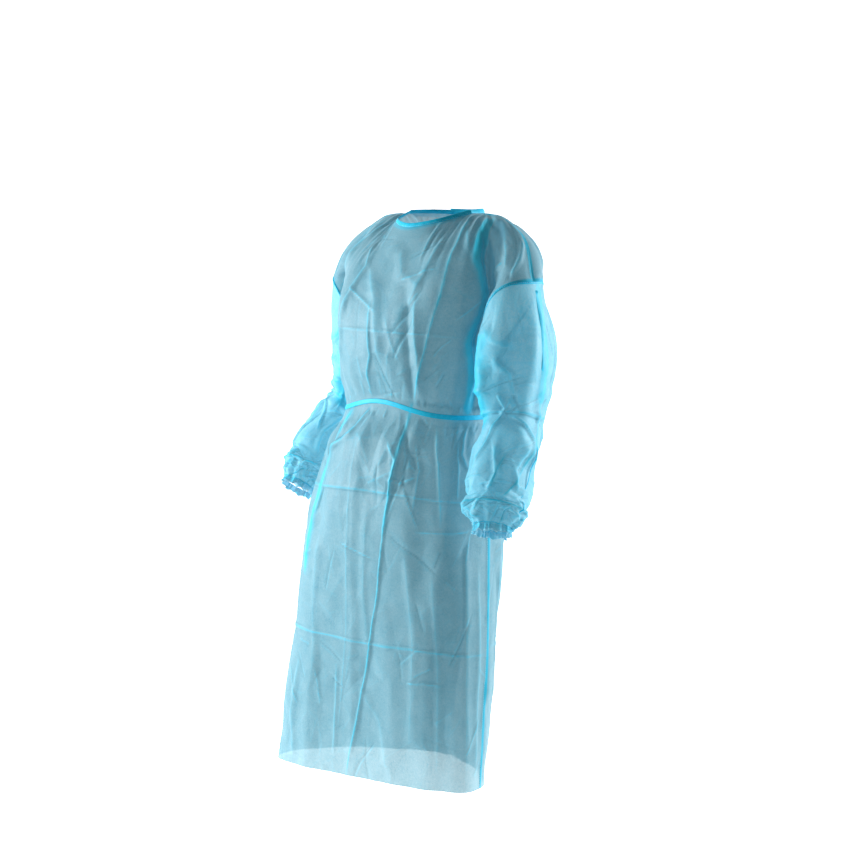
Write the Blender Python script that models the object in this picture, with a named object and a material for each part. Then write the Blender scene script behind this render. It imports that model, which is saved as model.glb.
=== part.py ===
import math

import bmesh
import bpy
import numpy as np

# Disposable gown, hollow as it is worn. Metres, +Z up, front to -Y, the wearer's left to +X.
# The origin is the middle of the neck opening, level with the high points of the shoulders.

# Driving sizes
wall = 0.0012
seam_gap = 0.0003
armpit_ease = 0.0008
half_front = 0.325
overlap = 0.044
back_apart = 0.0032
tape_width = 0.009
tape_thick = 0.0012
belt_drop = 0.383
belt_rise = 0.027
belt_end = 0.006
hem_drop = 1.082
cuff_depth = 0.013
seam_width = 0.009

# Flat distance of each control line from the middle of a panel: middle, collar, neck side,
# ridge in front of the arm, gap in the armpit, over the arm, armhole or side seam
line_names = ["middle", "collar", "neck", "ridge", "gap", "over", "seam"]
line_share = np.array([0.0, 0.20, 0.40, 0.57, 0.69, 0.81, 1.0])

# Armhole ring round each upper arm, by side; the armpit is lower than the rest. The right arm is
# held further back, so the yoke's lines move with it by these shares
armhole = dict(top=-0.126, across=0.050, along=0.0625, armpit=0.121)
armhole_x = {1: 0.225, -1: -0.222}
armhole_y = {1: -0.035, -1: -0.002}
back_share = np.array([0.0, 0.0, 0.0, 0.1, 0.3, 0.6, 1.0])

# Yoke rows from the shoulder down to the armpit, on the wearer's left. turn says where the row
# ends on the armhole ring, in turns from its outside
front_yoke = [
    dict(drop=0.000, turn=0.0, middle=(0.0, -0.086, -0.027), collar=(0.060, -0.062, -0.017),
         neck=(0.086, 0.0, 0.0), ridge=(0.135, -0.001, -0.001), gap=(0.172, -0.003, -0.009),
         over=(0.226, -0.010, -0.042)),
    dict(drop=0.085, turn=1 / 6, middle=(0.0, -0.122, -0.085), collar=(0.063, -0.116, -0.080),
         neck=(0.115, -0.103, -0.074), ridge=(0.170, -0.080, -0.074), gap=(0.181, -0.050, -0.076),
         over=(0.222, -0.064, -0.092)),
    dict(drop=0.165, turn=1 / 3, middle=(0.0, -0.156, -0.160), collar=(0.070, -0.152, -0.157),
         neck=(0.128, -0.138, -0.155), ridge=(0.182, -0.080, -0.152), gap=(0.171, -0.043, -0.158),
         over=(0.187, -0.054, -0.168)),
]
back_yoke = [
    dict(drop=0.000, turn=0.0, middle=(0.0, 0.086, -0.002), collar=(0.060, 0.061, 0.000),
         neck=(0.086, 0.0, 0.0), ridge=(0.135, -0.001, -0.001), gap=(0.172, -0.003, -0.009),
         over=(0.226, -0.010, -0.042)),
    dict(drop=0.085, turn=1 / 6, middle=(0.0, 0.106, -0.074), collar=(0.063, 0.102, -0.070),
         neck=(0.115, 0.094, -0.068), ridge=(0.165, 0.076, -0.070), gap=(0.192, 0.056, -0.078),
         over=(0.222, 0.042, -0.092)),
    dict(drop=0.165, turn=1 / 3, middle=(0.0, 0.112, -0.155), collar=(0.070, 0.109, -0.155),
         neck=(0.122, 0.098, -0.155), ridge=(0.163, 0.070, -0.158), gap=(0.180, 0.046, -0.163),
         over=(0.193, 0.030, -0.176)),
]

# Sections below the armpit: centre, half width on each side, depth in front and behind, twist in
# degrees, how square the front and the back are, and how far the columns crowd to the side
sections = [
    dict(drop=0.250, x=0.000, y=-0.030, left=0.172, right=0.172, front=0.147,
         back=0.130, twist=0, fore=2.7, aft=2.4, crowd=1.25),
    dict(drop=0.315, x=0.000, y=-0.034, left=0.167, right=0.172, front=0.140,
         back=0.122, twist=0, fore=2.6, aft=2.4, crowd=1.25),
    dict(drop=belt_drop, x=0.000, y=-0.040, left=0.162, right=0.166, front=0.122,
         back=0.108, twist=1, fore=2.5, aft=2.3, crowd=1.1),
    dict(drop=0.450, x=0.000, y=-0.056, left=0.176, right=0.183, front=0.138,
         back=0.128, twist=1, fore=2.5, aft=2.2, crowd=1.0),
    dict(drop=0.550, x=0.000, y=-0.075, left=0.197, right=0.208, front=0.142,
         back=0.150, twist=2, fore=2.6, aft=2.1, crowd=1.0),
    dict(drop=0.680, x=0.000, y=-0.095, left=0.209, right=0.222, front=0.128,
         back=0.160, twist=4, fore=2.9, aft=1.9, crowd=1.0),
    dict(drop=0.820, x=-0.002, y=-0.110, left=0.216, right=0.232, front=0.108,
         back=0.166, twist=6, fore=3.2, aft=1.7, crowd=1.0),
    dict(drop=0.950, x=-0.008, y=-0.124, left=0.219, right=0.239, front=0.088,
         back=0.166, twist=8, fore=3.6, aft=1.6, crowd=1.0),
    dict(drop=hem_drop, x=-0.013, y=-0.136, left=0.221, right=0.246, front=0.072,
         back=0.172, twist=10, fore=4.0, aft=1.5, crowd=1.0),
]

# Sleeve stations on the wearer's left and right: centre, half width across and half depth
left_stations = [
    dict(x=0.240, y=-0.043, z=-0.262, across=0.059, along=0.079),
    dict(x=0.242, y=-0.052, z=-0.330, across=0.057, along=0.074),
    dict(x=0.250, y=-0.066, z=-0.395, across=0.054, along=0.064),
    dict(x=0.263, y=-0.096, z=-0.452, across=0.056, along=0.063),
    dict(x=0.276, y=-0.127, z=-0.500, across=0.058, along=0.064),
    dict(x=0.283, y=-0.141, z=-0.524, across=0.052, along=0.056),
    dict(x=0.287, y=-0.148, z=-0.538, across=0.056, along=0.061),
    dict(x=0.292, y=-0.158, z=-0.557, across=0.042, along=0.046),
    dict(x=0.294, y=-0.162, z=-0.567, across=0.034, along=0.037),
]
right_stations = [
    dict(x=-0.232, y=0.018, z=-0.262, across=0.057, along=0.075),
    dict(x=-0.237, y=0.018, z=-0.335, across=0.055, along=0.070),
    dict(x=-0.250, y=0.004, z=-0.395, across=0.053, along=0.062),
    dict(x=-0.262, y=-0.032, z=-0.440, across=0.053, along=0.058),
    dict(x=-0.270, y=-0.072, z=-0.480, across=0.055, along=0.059),
    dict(x=-0.273, y=-0.089, z=-0.502, across=0.049, along=0.053),
    dict(x=-0.275, y=-0.099, z=-0.516, across=0.052, along=0.057),
    dict(x=-0.277, y=-0.114, z=-0.535, across=0.040, along=0.044),
    dict(x=-0.278, y=-0.121, z=-0.545, across=0.033, along=0.036),
]

# Folds on the front: from one flat point to another, as share across (+ is the wearer's left) and
# drop, with the fold's half width and how far it stands out
front_folds = [
    dict(x0=-0.06, d0=0.05, x1=-0.10, d1=1.08, wide=0.016, out=0.005),
    dict(x0=-0.52, d0=0.40, x1=-0.42, d1=0.62, wide=0.022, out=-0.012),
    dict(x0=-0.72, d0=0.41, x1=-0.66, d1=0.60, wide=0.020, out=0.009),
    dict(x0=-0.34, d0=0.10, x1=-0.48, d1=0.30, wide=0.018, out=0.005),
    dict(x0=0.46, d0=0.40, x1=0.50, d1=0.70, wide=0.022, out=-0.010),
    dict(x0=0.20, d0=0.72, x1=0.26, d1=1.08, wide=0.030, out=0.008),
    dict(x0=-0.46, d0=0.85, x1=-0.50, d1=1.08, wide=0.024, out=0.009),
    dict(x0=0.62, d0=0.74, x1=0.66, d1=1.08, wide=0.026, out=-0.010),
]
back_folds = [
    dict(x0=0.40, d0=0.12, x1=0.34, d1=0.36, wide=0.024, out=0.008),
    dict(x0=-0.42, d0=0.10, x1=-0.34, d1=0.36, wide=0.024, out=0.009),
    dict(x0=0.44, d0=0.41, x1=0.50, d1=0.80, wide=0.026, out=0.012),
    dict(x0=-0.40, d0=0.41, x1=-0.48, d1=0.84, wide=0.026, out=0.011),
    dict(x0=0.70, d0=0.42, x1=0.74, d1=1.08, wide=0.028, out=-0.010),
    dict(x0=-0.72, d0=0.42, x1=-0.76, d1=1.08, wide=0.028, out=-0.010),
    dict(x0=0.28, d0=0.76, x1=0.30, d1=1.08, wide=0.030, out=-0.009),
    dict(x0=-0.26, d0=0.72, x1=-0.30, d1=1.08, wide=0.030, out=-0.009),
]

# Pleats that the neck binding gathers, and those that the belt gathers: share across of the first
# and the last, how many on each side, how far they stand out, where they start and end
neck_pleats = dict(first=0.20, last=0.56, count=6, out=0.0030, start=0.0, end=0.13)
belt_pleats = dict(first=0.10, last=0.92, count=7, out=0.0045, reach=0.13)

# Folds round a sleeve: angle in turns from the outside, and station; long ones run down it
sleeve_folds = [
    dict(a0=-0.34, s0=0.3, a1=-0.28, s1=2.2, wide=0.050, out=0.009),
    dict(a0=-0.02, s0=0.5, a1=-0.10, s1=4.4, wide=0.045, out=0.007),
    dict(a0=-0.40, s0=3.2, a1=-0.16, s1=2.8, wide=0.040, out=-0.009),
    dict(a0=-0.30, s0=3.0, a1=0.02, s1=3.9, wide=0.040, out=0.008),
    dict(a0=0.20, s0=0.8, a1=0.28, s1=4.0, wide=0.050, out=0.008),
    dict(a0=0.40, s0=2.6, a1=0.60, s1=3.2, wide=0.045, out=-0.008),
]
wrist_gathers = dict(count=12, out=0.0028)
ring_columns = 24


def clear_scene():
    for old in list(bpy.data.objects):
        bpy.data.objects.remove(old)


def slopes(knots, values):
    steps = np.diff(knots).reshape([-1] + [1] * (values.ndim - 1))
    rise = np.diff(values, axis=0) / steps
    inner = (rise[:-1] * steps[1:] + rise[1:] * steps[:-1]) / (steps[1:] + steps[:-1])
    return np.concatenate([rise[:1], inner, rise[-1:]])


def smooth(knots, values, at):
    """Smooth curve through values at rising knots, read at each of at."""
    values = np.asarray(values, float)
    knots = np.asarray(knots, float)
    slope = slopes(knots, values)
    place = np.clip(np.searchsorted(knots, at, side="right") - 1, 0, len(knots) - 2)
    shape = [-1] + [1] * (values.ndim - 1)
    step = (knots[place + 1] - knots[place]).reshape(shape)
    t = (np.asarray(at, float) - knots[place]).reshape(shape) / step
    first = values[place] * (2 * t**3 - 3 * t**2 + 1) + slope[place] * step * (t**3 - 2 * t**2 + t)
    return first + values[place + 1] * (3 * t**2 - 2 * t**3) + slope[place + 1] * step * (t**3 - t**2)


def armhole_point(turn, side=1):
    """Point on the armhole ring; turn 0 is outside, -0.25 in front, 0.5 in the armpit."""
    angle = turn * 2 * math.pi
    lower = armhole["armpit"] * ((1 - math.cos(angle)) / 2) ** 2
    x = armhole_x[side] + side * armhole["across"] * math.cos(angle)
    y = armhole_y[side] + armhole["along"] * math.sin(angle)
    return np.array([x, y, armhole["top"] - lower])


def yoke_row(row, shares, facing):
    """Points across a yoke row at signed shares of the half width."""
    half = [row[name] for name in line_names[:-1]]
    half.append(tuple(armhole_point(facing * row["turn"])))
    half = np.array(half)
    right = half * [-1, 1, 1] + np.outer(back_share, [0, armhole_y[-1] - armhole_y[1], 0])
    right[-1] = armhole_point(facing * row["turn"], -1)
    knots = np.concatenate([-line_share[:0:-1], line_share])
    whole = np.concatenate([right[:0:-1], half])
    shares = np.asarray(shares, float)
    if row["drop"] > 0:
        return smooth(knots, whole, shares)
    # the shoulder row turns a corner where the neck opening meets the shoulder line
    neck = np.abs(knots) <= line_share[2]
    points = smooth(knots[neck], whole[neck], np.clip(shares, -line_share[2], line_share[2]))
    for side, points_there in ((1, half), (-1, right)):
        beyond = shares * side > line_share[2]
        points[beyond] = smooth(line_share[2:], points_there[2:], np.abs(shares[beyond]))
    return points


def section_row(row, shares, front):
    """Points across a section at signed shares, evenly along its outline from the middle."""
    shares = np.clip(shares, -1, 1)
    points = np.zeros((len(shares), 3))
    t = np.linspace(0, math.pi / 2, 181)
    power = row["fore"] if front else row["aft"]
    deep = -row["front"] if front else row["back"]
    for side, half in ((-1, row["right"]), (1, row["left"])):
        x = side * half * np.sin(t) ** (2 / power)
        y = deep * np.cos(t) ** (2 / power)
        run = np.concatenate([[0], np.cumsum(np.hypot(np.diff(x), np.diff(y)))])
        here = (np.sign(shares) == side) | ((np.asarray(shares) == 0) & (side == 1))
        at = (1 - (1 - np.abs(shares[here])) ** row["crowd"]) * run[-1]
        points[here, 0] = np.interp(at, run, x)
        points[here, 1] = np.interp(at, run, y)
    twist = math.radians(row["twist"])
    x = points[:, 0] * math.cos(twist) - points[:, 1] * math.sin(twist)
    y = points[:, 0] * math.sin(twist) + points[:, 1] * math.cos(twist)
    return np.stack([x + row["x"], y + row["y"], np.full(len(x), -row["drop"])], 1)


def unit(vectors):
    return vectors / np.maximum(np.linalg.norm(vectors, axis=-1, keepdims=True), 1e-9)


def grid_normals(grid, closed=False):
    """Unit normal at each grid point, from the lines through it."""
    down = np.gradient(grid, axis=0)
    if closed:
        across = (np.roll(grid, -1, axis=1) - np.roll(grid, 1, axis=1)) / 2
    else:
        across = np.gradient(grid, axis=1)
    return unit(np.cross(across, down))


def fold_height(folds, across, drop, breadth):
    """Sum of soft ridges and troughs, each along a straight line on the flat cloth."""
    height = np.zeros_like(across)
    for fold in folds:
        start = np.array([fold["x0"] * breadth, fold["d0"]])
        run = np.array([fold["x1"] * breadth, fold["d1"]]) - start
        place = ((across - start[0]) * run[0] + (drop - start[1]) * run[1]) / (run @ run)
        near = np.clip(place, 0, 1)
        gap = np.hypot(across - start[0] - near * run[0], drop - start[1] - near * run[1])
        ends = np.clip(np.minimum(place + 0.15, 1.15 - place) / 0.3, 0, 1)
        if fold["d1"] > hem_drop - 0.05:
            ends = np.where(place > 0.5, 1, ends)
        height += fold["out"] * np.exp(-((gap / fold["wide"]) ** 2)) * ends
    return height


def pleat_height(share, drop):
    """Pleats fanning down from the neck binding and from both sides of the belt."""
    size = np.abs(share)
    neck = neck_pleats
    inside = (size > neck["first"]) & (size < neck["last"])
    phase = (size - neck["first"]) / (neck["last"] - neck["first"]) * neck["count"]
    fade = np.clip(1 - (drop - neck["start"]) / (neck["end"] - neck["start"]), 0, 1)
    rise = np.clip(drop / 0.012, 0, 1)
    height = neck["out"] * np.sin(phase * 2 * math.pi) * inside * fade * rise
    belt = belt_pleats
    inside = (size > belt["first"]) & (size < belt["last"])
    phase = (size - belt["first"]) / (belt["last"] - belt["first"]) * belt["count"]
    away = np.abs(drop - belt_drop)
    fade = np.clip((away - 0.008) / 0.03, 0, 1) * np.clip(1 - away / belt["reach"], 0, 1)
    return height + belt["out"] * np.sin(phase * 2 * math.pi) * inside * fade


def edge_row(row, side, front):
    """Where a control row ends at the armhole or the side seam, before the seam is settled."""
    share = np.array([float(side)])
    if "turn" in row:
        return yoke_row(row, share, -1 if front else 1)[0]
    return section_row(row, share, front)[0]


def seam_edge(drops, side, front):
    """The seam that front and back share: round the armhole, then down the side."""
    out = -1 if front else 1
    knots = [row["drop"] for row in front_yoke] + [sections[0]["drop"]]
    turns = np.interp(drops, knots, [0, 1 / 6, 1 / 3, 1 / 2])
    round_ = np.array([armhole_point(out * turn, side) for turn in turns])
    ends = [armhole_point(0.5, side)] + [edge_row(row, side, True) for row in sections[1:]]
    down = smooth([row["drop"] for row in sections], np.array(ends), np.maximum(drops, knots[-1]))
    return np.where((drops <= knots[-1])[:, None], round_, down)


def panel_grid(shares, drops, front, folds=True):
    """Outer points of the front or the back, a row for each drop and a column for each share."""
    shares = np.asarray(shares, float)
    drops = np.asarray(drops, float)
    yoke = front_yoke if front else back_yoke
    out = -1 if front else 1
    rows = [yoke_row(row, shares, out) for row in yoke]
    rows += [section_row(row, shares, front) for row in sections]
    knots = [row["drop"] for row in yoke] + [row["drop"] for row in sections]
    other = yoke_row((back_yoke if front else front_yoke)[1], shares, -out)
    over = np.clip((np.abs(shares) - 0.36) / 0.08, 0, 1)[:, None]
    rows.insert(0, over * other + (1 - over) * (2 * rows[0] - rows[1]))
    knots.insert(0, -knots[1])
    grid = smooth(knots, np.array(rows), drops)
    if front:
        rise = belt_rise * np.exp(-(((drops - belt_drop) / 0.11) ** 2)) * np.clip(drops / 0.1, 0, 1)
        grid[..., 2] += np.outer(rise, np.exp(-(((shares + 0.02) / 0.40) ** 2)))
    knots, rows = knots[1:], rows[1:]
    pull = np.clip((np.abs(shares) - line_share[2]) / (1 - line_share[2]), 0, 1)
    for side in (-1, 1):
        near = np.flatnonzero(shares * side > line_share[2])
        if len(near):
            ends = np.array([edge_row(row, side, front) for row in yoke + sections])
            shift = seam_edge(drops, side, front) - smooth(knots, ends, drops)
            grid[:, near] += shift[:, None] * pull[near][None, :, None]
    if folds:
        share, drop = np.meshgrid(shares, drops)
        height = fold_height(front_folds if front else back_folds, share * half_front, drop, half_front)
        height += pleat_height(share, drop)
        edge = np.clip((1 - np.abs(share)) / 0.10, 0, 1) * np.clip(drop / 0.02, 0, 1)
        belt = np.clip((np.abs(drop - belt_drop) - 0.008) / 0.02, 0, 1)
        grid = grid + out * grid_normals(grid) * (height * edge * belt)[..., None]
    return grid


def sleeve_rows(stations, side, turns):
    """Control rings of a sleeve: the armhole ring, then one round each station's centre."""
    rings = [np.array([armhole_point(turn, side) for turn in turns])]
    centres = np.array([[s["x"], s["y"], s["z"]] for s in stations])
    first = np.array([armhole_x[side], armhole_y[side], armhole["top"] - armhole["armpit"] / 3])
    along = unit(np.gradient(np.concatenate([[first], centres]), axis=0))[1:]
    for station, centre, tangent in zip(stations, centres, along):
        across = unit(np.array([side, 0, 0]) - side * tangent[0] * tangent)
        deep = side * np.cross(across, tangent)
        angle = np.asarray(turns) * 2 * math.pi
        rings.append(centre + station["across"] * np.cos(angle)[:, None] * across
                     + station["along"] * np.sin(angle)[:, None] * deep)
    return np.array(rings)


def sleeve_grid(stations, side, turns, places):
    """Outer points of a sleeve, a row for each place counted in stations from the armhole."""
    rings = sleeve_rows(stations, side, turns)
    grid = smooth(np.arange(len(rings)), rings, places)
    turn, place = np.meshgrid(turns, places)
    height = np.zeros_like(turn)
    for fold in sleeve_folds:
        start = np.array([fold["a0"], fold["s0"] / 8])
        run = np.array([fold["a1"], fold["s1"] / 8]) - start
        for lap in (-1, 0, 1):
            x = turn + lap - start[0]
            y = place / 8 - start[1]
            share = np.clip((x * run[0] + y * run[1]) / (run @ run), 0, 1)
            gap = np.hypot(x - share * run[0], y - share * run[1])
            height += fold["out"] * np.exp(-((gap / fold["wide"]) ** 2))
    last = len(rings) - 1
    gather = np.clip((place - last + 3.2) / 2.2, 0, 1)
    height = height * np.clip(place / 0.5, 0, 1) * np.clip((last - place) / 2, 0, 1)
    height += wrist_gathers["out"] * gather * np.cos(turn * 2 * math.pi * wrist_gathers["count"])
    return grid - side * grid_normals(grid, closed=True) * height[..., None]


def make_material(name, colour, roughness):
    material = bpy.data.materials.new(name)
    material.use_nodes = True
    shader = material.node_tree.nodes["Principled BSDF"]
    shader.inputs["Base Color"].default_value = colour
    shader.inputs["Roughness"].default_value = roughness
    shader.inputs["Metallic"].default_value = 0.0
    material.diffuse_color = colour
    return material


def make_object(name, points, faces, material):
    mesh = bpy.data.meshes.new(name)
    mesh.from_pydata([tuple(point) for point in points], [], faces)
    shape = bmesh.new()
    shape.from_mesh(mesh)
    bmesh.ops.recalc_face_normals(shape, faces=shape.faces)
    shape.to_mesh(mesh)
    shape.free()
    mesh.materials.append(material)
    piece = bpy.data.objects.new(name, mesh)
    bpy.context.collection.objects.link(piece)
    return piece


def wall_between(name, outer, inner, material, closed=False):
    """Closed wall between two grids; a closed one goes all round, as a tube does."""
    rows, columns = outer.shape[:2]
    size = rows * columns
    points = np.concatenate([outer.reshape(-1, 3), inner.reshape(-1, 3)])
    faces = []
    span = columns if closed else columns - 1
    for row in range(rows - 1):
        for column in range(span):
            beside = (column + 1) % columns
            a, b = row * columns + column, row * columns + beside
            c, d = a + columns, b + columns
            faces.append((a, b, d, c))
            faces.append((a + size, c + size, d + size, b + size))
    for column in range(span):
        beside = (column + 1) % columns
        low = (rows - 1) * columns
        faces.append((column, column + size, beside + size, beside))
        faces.append((low + column, low + beside, low + beside + size, low + column + size))
    if not closed:
        for row in range(rows - 1):
            left, right = row * columns, row * columns + columns - 1
            faces.append((left, left + columns, left + columns + size, left + size))
            faces.append((right, right + size, right + columns + size, right + columns))
    return make_object(name, points, faces, material)


def cloth_wall(name, grid, out, material, thick=wall, closed=False):
    """Wall of cloth behind its outer points."""
    normals = out * grid_normals(grid, closed)
    return wall_between(name, grid, grid - normals * thick, material, closed)


def laid_tape(name, points, normals, gap, thick, material):
    """Tape that lies on a panel: the panel's own points, moved out along its normals."""
    return wall_between(name, points + normals * (gap + thick), points + normals * gap, material)


def spread(knots, counts):
    """Values from knot to knot, with so many steps between each two."""
    parts = [np.linspace(a, b, n, endpoint=False) for a, b, n in zip(knots, knots[1:], counts)]
    return np.concatenate(parts + [[knots[-1]]])


def panel_drops():
    flat = tape_width / 2 + 0.002
    knots = [0.0, 0.085, 0.165, 0.250, 0.315, belt_drop - flat, belt_drop + flat, 0.450, 0.550,
             0.680, 0.820, 0.950, hem_drop]
    return spread(knots, [4, 4, 4, 2, 2, 1, 3, 2, 2, 2, 2, 3])


def belt_rows(drops):
    """The two rows of a panel that the belt lies between, and its edges' shares of the way down."""
    low = int(np.argmin(np.abs(drops - belt_drop)))
    low = low if drops[low] < belt_drop else low - 1
    span = drops[low + 1] - drops[low]
    return low, [0.5 - tape_width / 2 / span, 0.5 + tape_width / 2 / span]


def trimmed(shares, drops, grid):
    """Keeps a seam gap clear at the shoulder, the armhole and the side seam."""
    moved = grid.copy()
    moved[0] += unit(grid[1] - grid[0]) * seam_gap
    for edge, inner in ((0, 1), (-1, -2)):
        if abs(shares[edge]) > 0.999:
            armpit = np.exp(-(((drops - sections[0]["drop"]) / 0.03) ** 2))
            gap = seam_gap + armpit_ease * armpit
            moved[:, edge] += unit(grid[:, inner] - grid[:, edge]) * gap[:, None]
    return moved


def armhole_outs(turns, side):
    """Directions through the cloth round an armhole, halfway between the yoke's and the sleeve's."""
    drops = spread([row["drop"] for row in front_yoke] + [sections[0]["drop"]], [8, 8, 8])
    steps = np.linspace(0, 0.5, len(drops))
    places, outs = [], []
    for front in (True, False):
        out = -1 if front else 1
        grid = panel_grid([0.90, 0.95, 1.0], drops, front, folds=False)
        places += list(out * steps)
        outs += list(out * grid_normals(grid)[:, -1])
    places, outs = np.array(places), np.array(outs)
    order = np.argsort(places % 1)
    yoke = [np.interp(turns % 1, (places % 1)[order], outs[order, axis], period=1) for axis in range(3)]
    ring = sleeve_turns()
    sleeve = -grid_normals(sleeve_grid(left_stations, 1, ring, np.array([0, 0.1, 0.2])), closed=True)[0]
    head = [np.interp(turns, ring, sleeve[:, axis], period=1) for axis in range(3)]
    low = ((1 - np.cos(turns * 2 * math.pi)) / 2) ** 4
    down = np.stack([0 * low, 0 * low, -1.6 * low], 1)
    return unit(unit(np.stack(yoke, 1)) + unit(np.stack(head, 1)) + down) * [side, 1, 1]


def panel_outs(shares, drops, grid, front):
    """Directions through a panel's cloth, mitred with the next piece's along each seam."""
    out = -1 if front else 1
    outs = out * grid_normals(grid)
    top = np.array([0, 0.01, 0.02])
    here = grid_normals(panel_grid(shares, top, front, folds=False))[0]
    beyond = grid_normals(panel_grid(shares, top, not front, folds=False))[0]
    shoulder = np.abs(shares) >= line_share[2] - 0.001
    outs[0, shoulder] = unit(out * here[shoulder] - out * beyond[shoulder])
    for column in np.flatnonzero(np.abs(shares) > 0.999):
        side = np.sign(shares[column])
        pair = np.array([0.90, 0.95, 1.0])
        here = grid_normals(panel_grid(pair, drops, front, folds=False))[:, -1]
        beyond = grid_normals(panel_grid(pair, drops, not front, folds=False))[:, -1]
        outs[:, column] = unit(out * here - out * beyond) * [side, 1, 1]
        high = drops <= sections[0]["drop"] + 0.001
        knots = [row["drop"] for row in front_yoke] + [sections[0]["drop"]]
        turns = out * np.interp(drops[high], knots, [0, 1 / 6, 1 / 3, 1 / 2])
        outs[high, column] = armhole_outs(turns, side)
        # close to the armpit the cloth turns sharply, so its directions are evened out there
        sharp = np.exp(-(((drops - sections[0]["drop"] + 0.02) / 0.03) ** 2))[:, None]
        start = np.argmin(np.abs(shares - side * line_share[5]))
        for near in np.flatnonzero((shares * side > line_share[5]) & (shares * side < 0.999)):
            share = (abs(shares[near]) - line_share[5]) / (1 - line_share[5])
            even = unit(outs[:, start] * (1 - share) + outs[:, column] * share)
            outs[:, near] = unit(outs[:, near] * (1 - sharp) + even * sharp)
    return outs


def front_columns():
    half = spread(list(line_share), [3, 6, 5, 3, 3, 3])
    return np.concatenate([-half[:0:-1], half])


def make_front(material):
    shares = front_columns()
    drops = panel_drops()
    grid = panel_grid(shares, drops, True)
    outs = panel_outs(shares, drops, grid, True)
    grid = trimmed(shares, drops, grid)
    return wall_between("front_panel", grid, grid - outs * wall, material)


def back_lift(share, side):
    """How far a back panel lies outside or inside the other near the overlap."""
    near = np.clip(1.6 - np.abs(share) * half_front / overlap / 1.6, 0, 1)
    return side * back_apart * near


def back_grid(shares, drops, side):
    """Outer points of a back panel, lifted off the other where they lap."""
    shares = np.asarray(shares, float)
    grid = panel_grid(shares, drops, False)
    return grid + grid_normals(grid) * back_lift(shares, side)[None, :, None]


def back_columns(side):
    half = spread(list(line_share), [3, 3, 3, 2, 2, 2])
    edge = overlap / half_front
    shares = np.concatenate([[-edge, -edge / 2], half])
    return shares if side > 0 else -shares[::-1]


def make_back(name, side, material):
    """Back panel from its side seam to past the middle; side 1 is the left one, which lies over."""
    shares = back_columns(side)
    drops = panel_drops()
    grid = back_grid(shares, drops, side)
    outs = panel_outs(shares, drops, grid, False)
    grid = trimmed(shares, drops, grid)
    return wall_between(name, grid, grid - outs * wall, material)


def sleeve_turns():
    return np.arange(ring_columns) / ring_columns - 0.5


def sleeve_places():
    return spread([0, 1, 2, 3, 4, 5, 6, 7, 8, 9], [3, 2, 2, 2, 2, 1, 1, 1, 1])


def whole_sleeve(stations, side):
    """The sleeve's outer points, just clear of the armhole, and their normals."""
    grid = sleeve_grid(stations, side, sleeve_turns(), sleeve_places())
    outs = -side * grid_normals(grid, closed=True)
    outs[0] = armhole_outs(sleeve_turns(), side)
    ease = armpit_ease * ((1 - np.cos(sleeve_turns() * 2 * math.pi)) / 2) ** 4
    grid[0] += unit(grid[1] - grid[0]) * (seam_gap + ease)[:, None]
    return grid, outs


def make_sleeve(name, stations, side, material):
    grid, normals = whole_sleeve(stations, side)
    return wall_between(name, grid, grid - normals * wall, material, closed=True)


def make_cuff(name, stations, side, material):
    """Casing that the elastic gathers, from the sleeve's end on toward the hand."""
    turns = sleeve_turns()
    grid = sleeve_grid(stations, side, turns, np.array([8.0, 9.0]))
    along = unit(grid[1].mean(0) - grid[0].mean(0))
    rows = [grid[1] + along * (seam_gap + cuff_depth * share) for share in (0, 0.33, 0.67, 1)]
    middle = grid[1].mean(0)
    ring = np.array(rows)
    squeeze = np.array([1.0, 0.985, 1.0, 1.06])
    for row, share in enumerate(squeeze):
        centre = middle + along * (ring[row] - grid[1]).mean(0).dot(along)
        ring[row] = centre + (ring[row] - centre) * share
    return cloth_wall(name, ring, -side, material, closed=True)


def make_armhole_seam(name, stations, side, material):
    """Lapped band on the sleeve's head, all round but for the armpit."""
    grid = whole_sleeve(stations, side)[0]
    normals = -side * grid_normals(grid, closed=True)
    near = slice(5, 20)
    far = np.linalg.norm(grid[1] - grid[0], axis=1)[:, None]
    points, outs = [], []
    for distance in (0.002, 0.002 + seam_width):
        share = distance / far
        points.append((grid[0] + (grid[1] - grid[0]) * share)[near])
        outs.append(unit(normals[0] + (normals[1] - normals[0]) * share)[near])
    return laid_tape(name, np.array(points), np.array(outs), seam_gap * 4, 0.001, material)


def make_sleeve_seam(name, stations, side, material):
    """Lapped strip down the outside of the sleeve, between two lines of its points."""
    grid, normals = whole_sleeve(stations, side)
    rows = slice(1, 12)
    first, second = grid[rows, 12], grid[rows, 13]
    width = np.linalg.norm(second - first, axis=1)[:, None]
    points, outs = [], []
    for step in (-0.5, 0.5):
        share = 0.5 + step * np.minimum(seam_width / width, 0.9)
        points.append(first + (second - first) * share)
        outs.append(unit(normals[rows, 12] * (1 - share) + normals[rows, 13] * share))
    points[0][0] += unit(grid[2, 12] - grid[1, 12]) * 0.001
    return laid_tape(name, np.array(points), np.array(outs), seam_gap * 2, 0.001, material)


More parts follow.
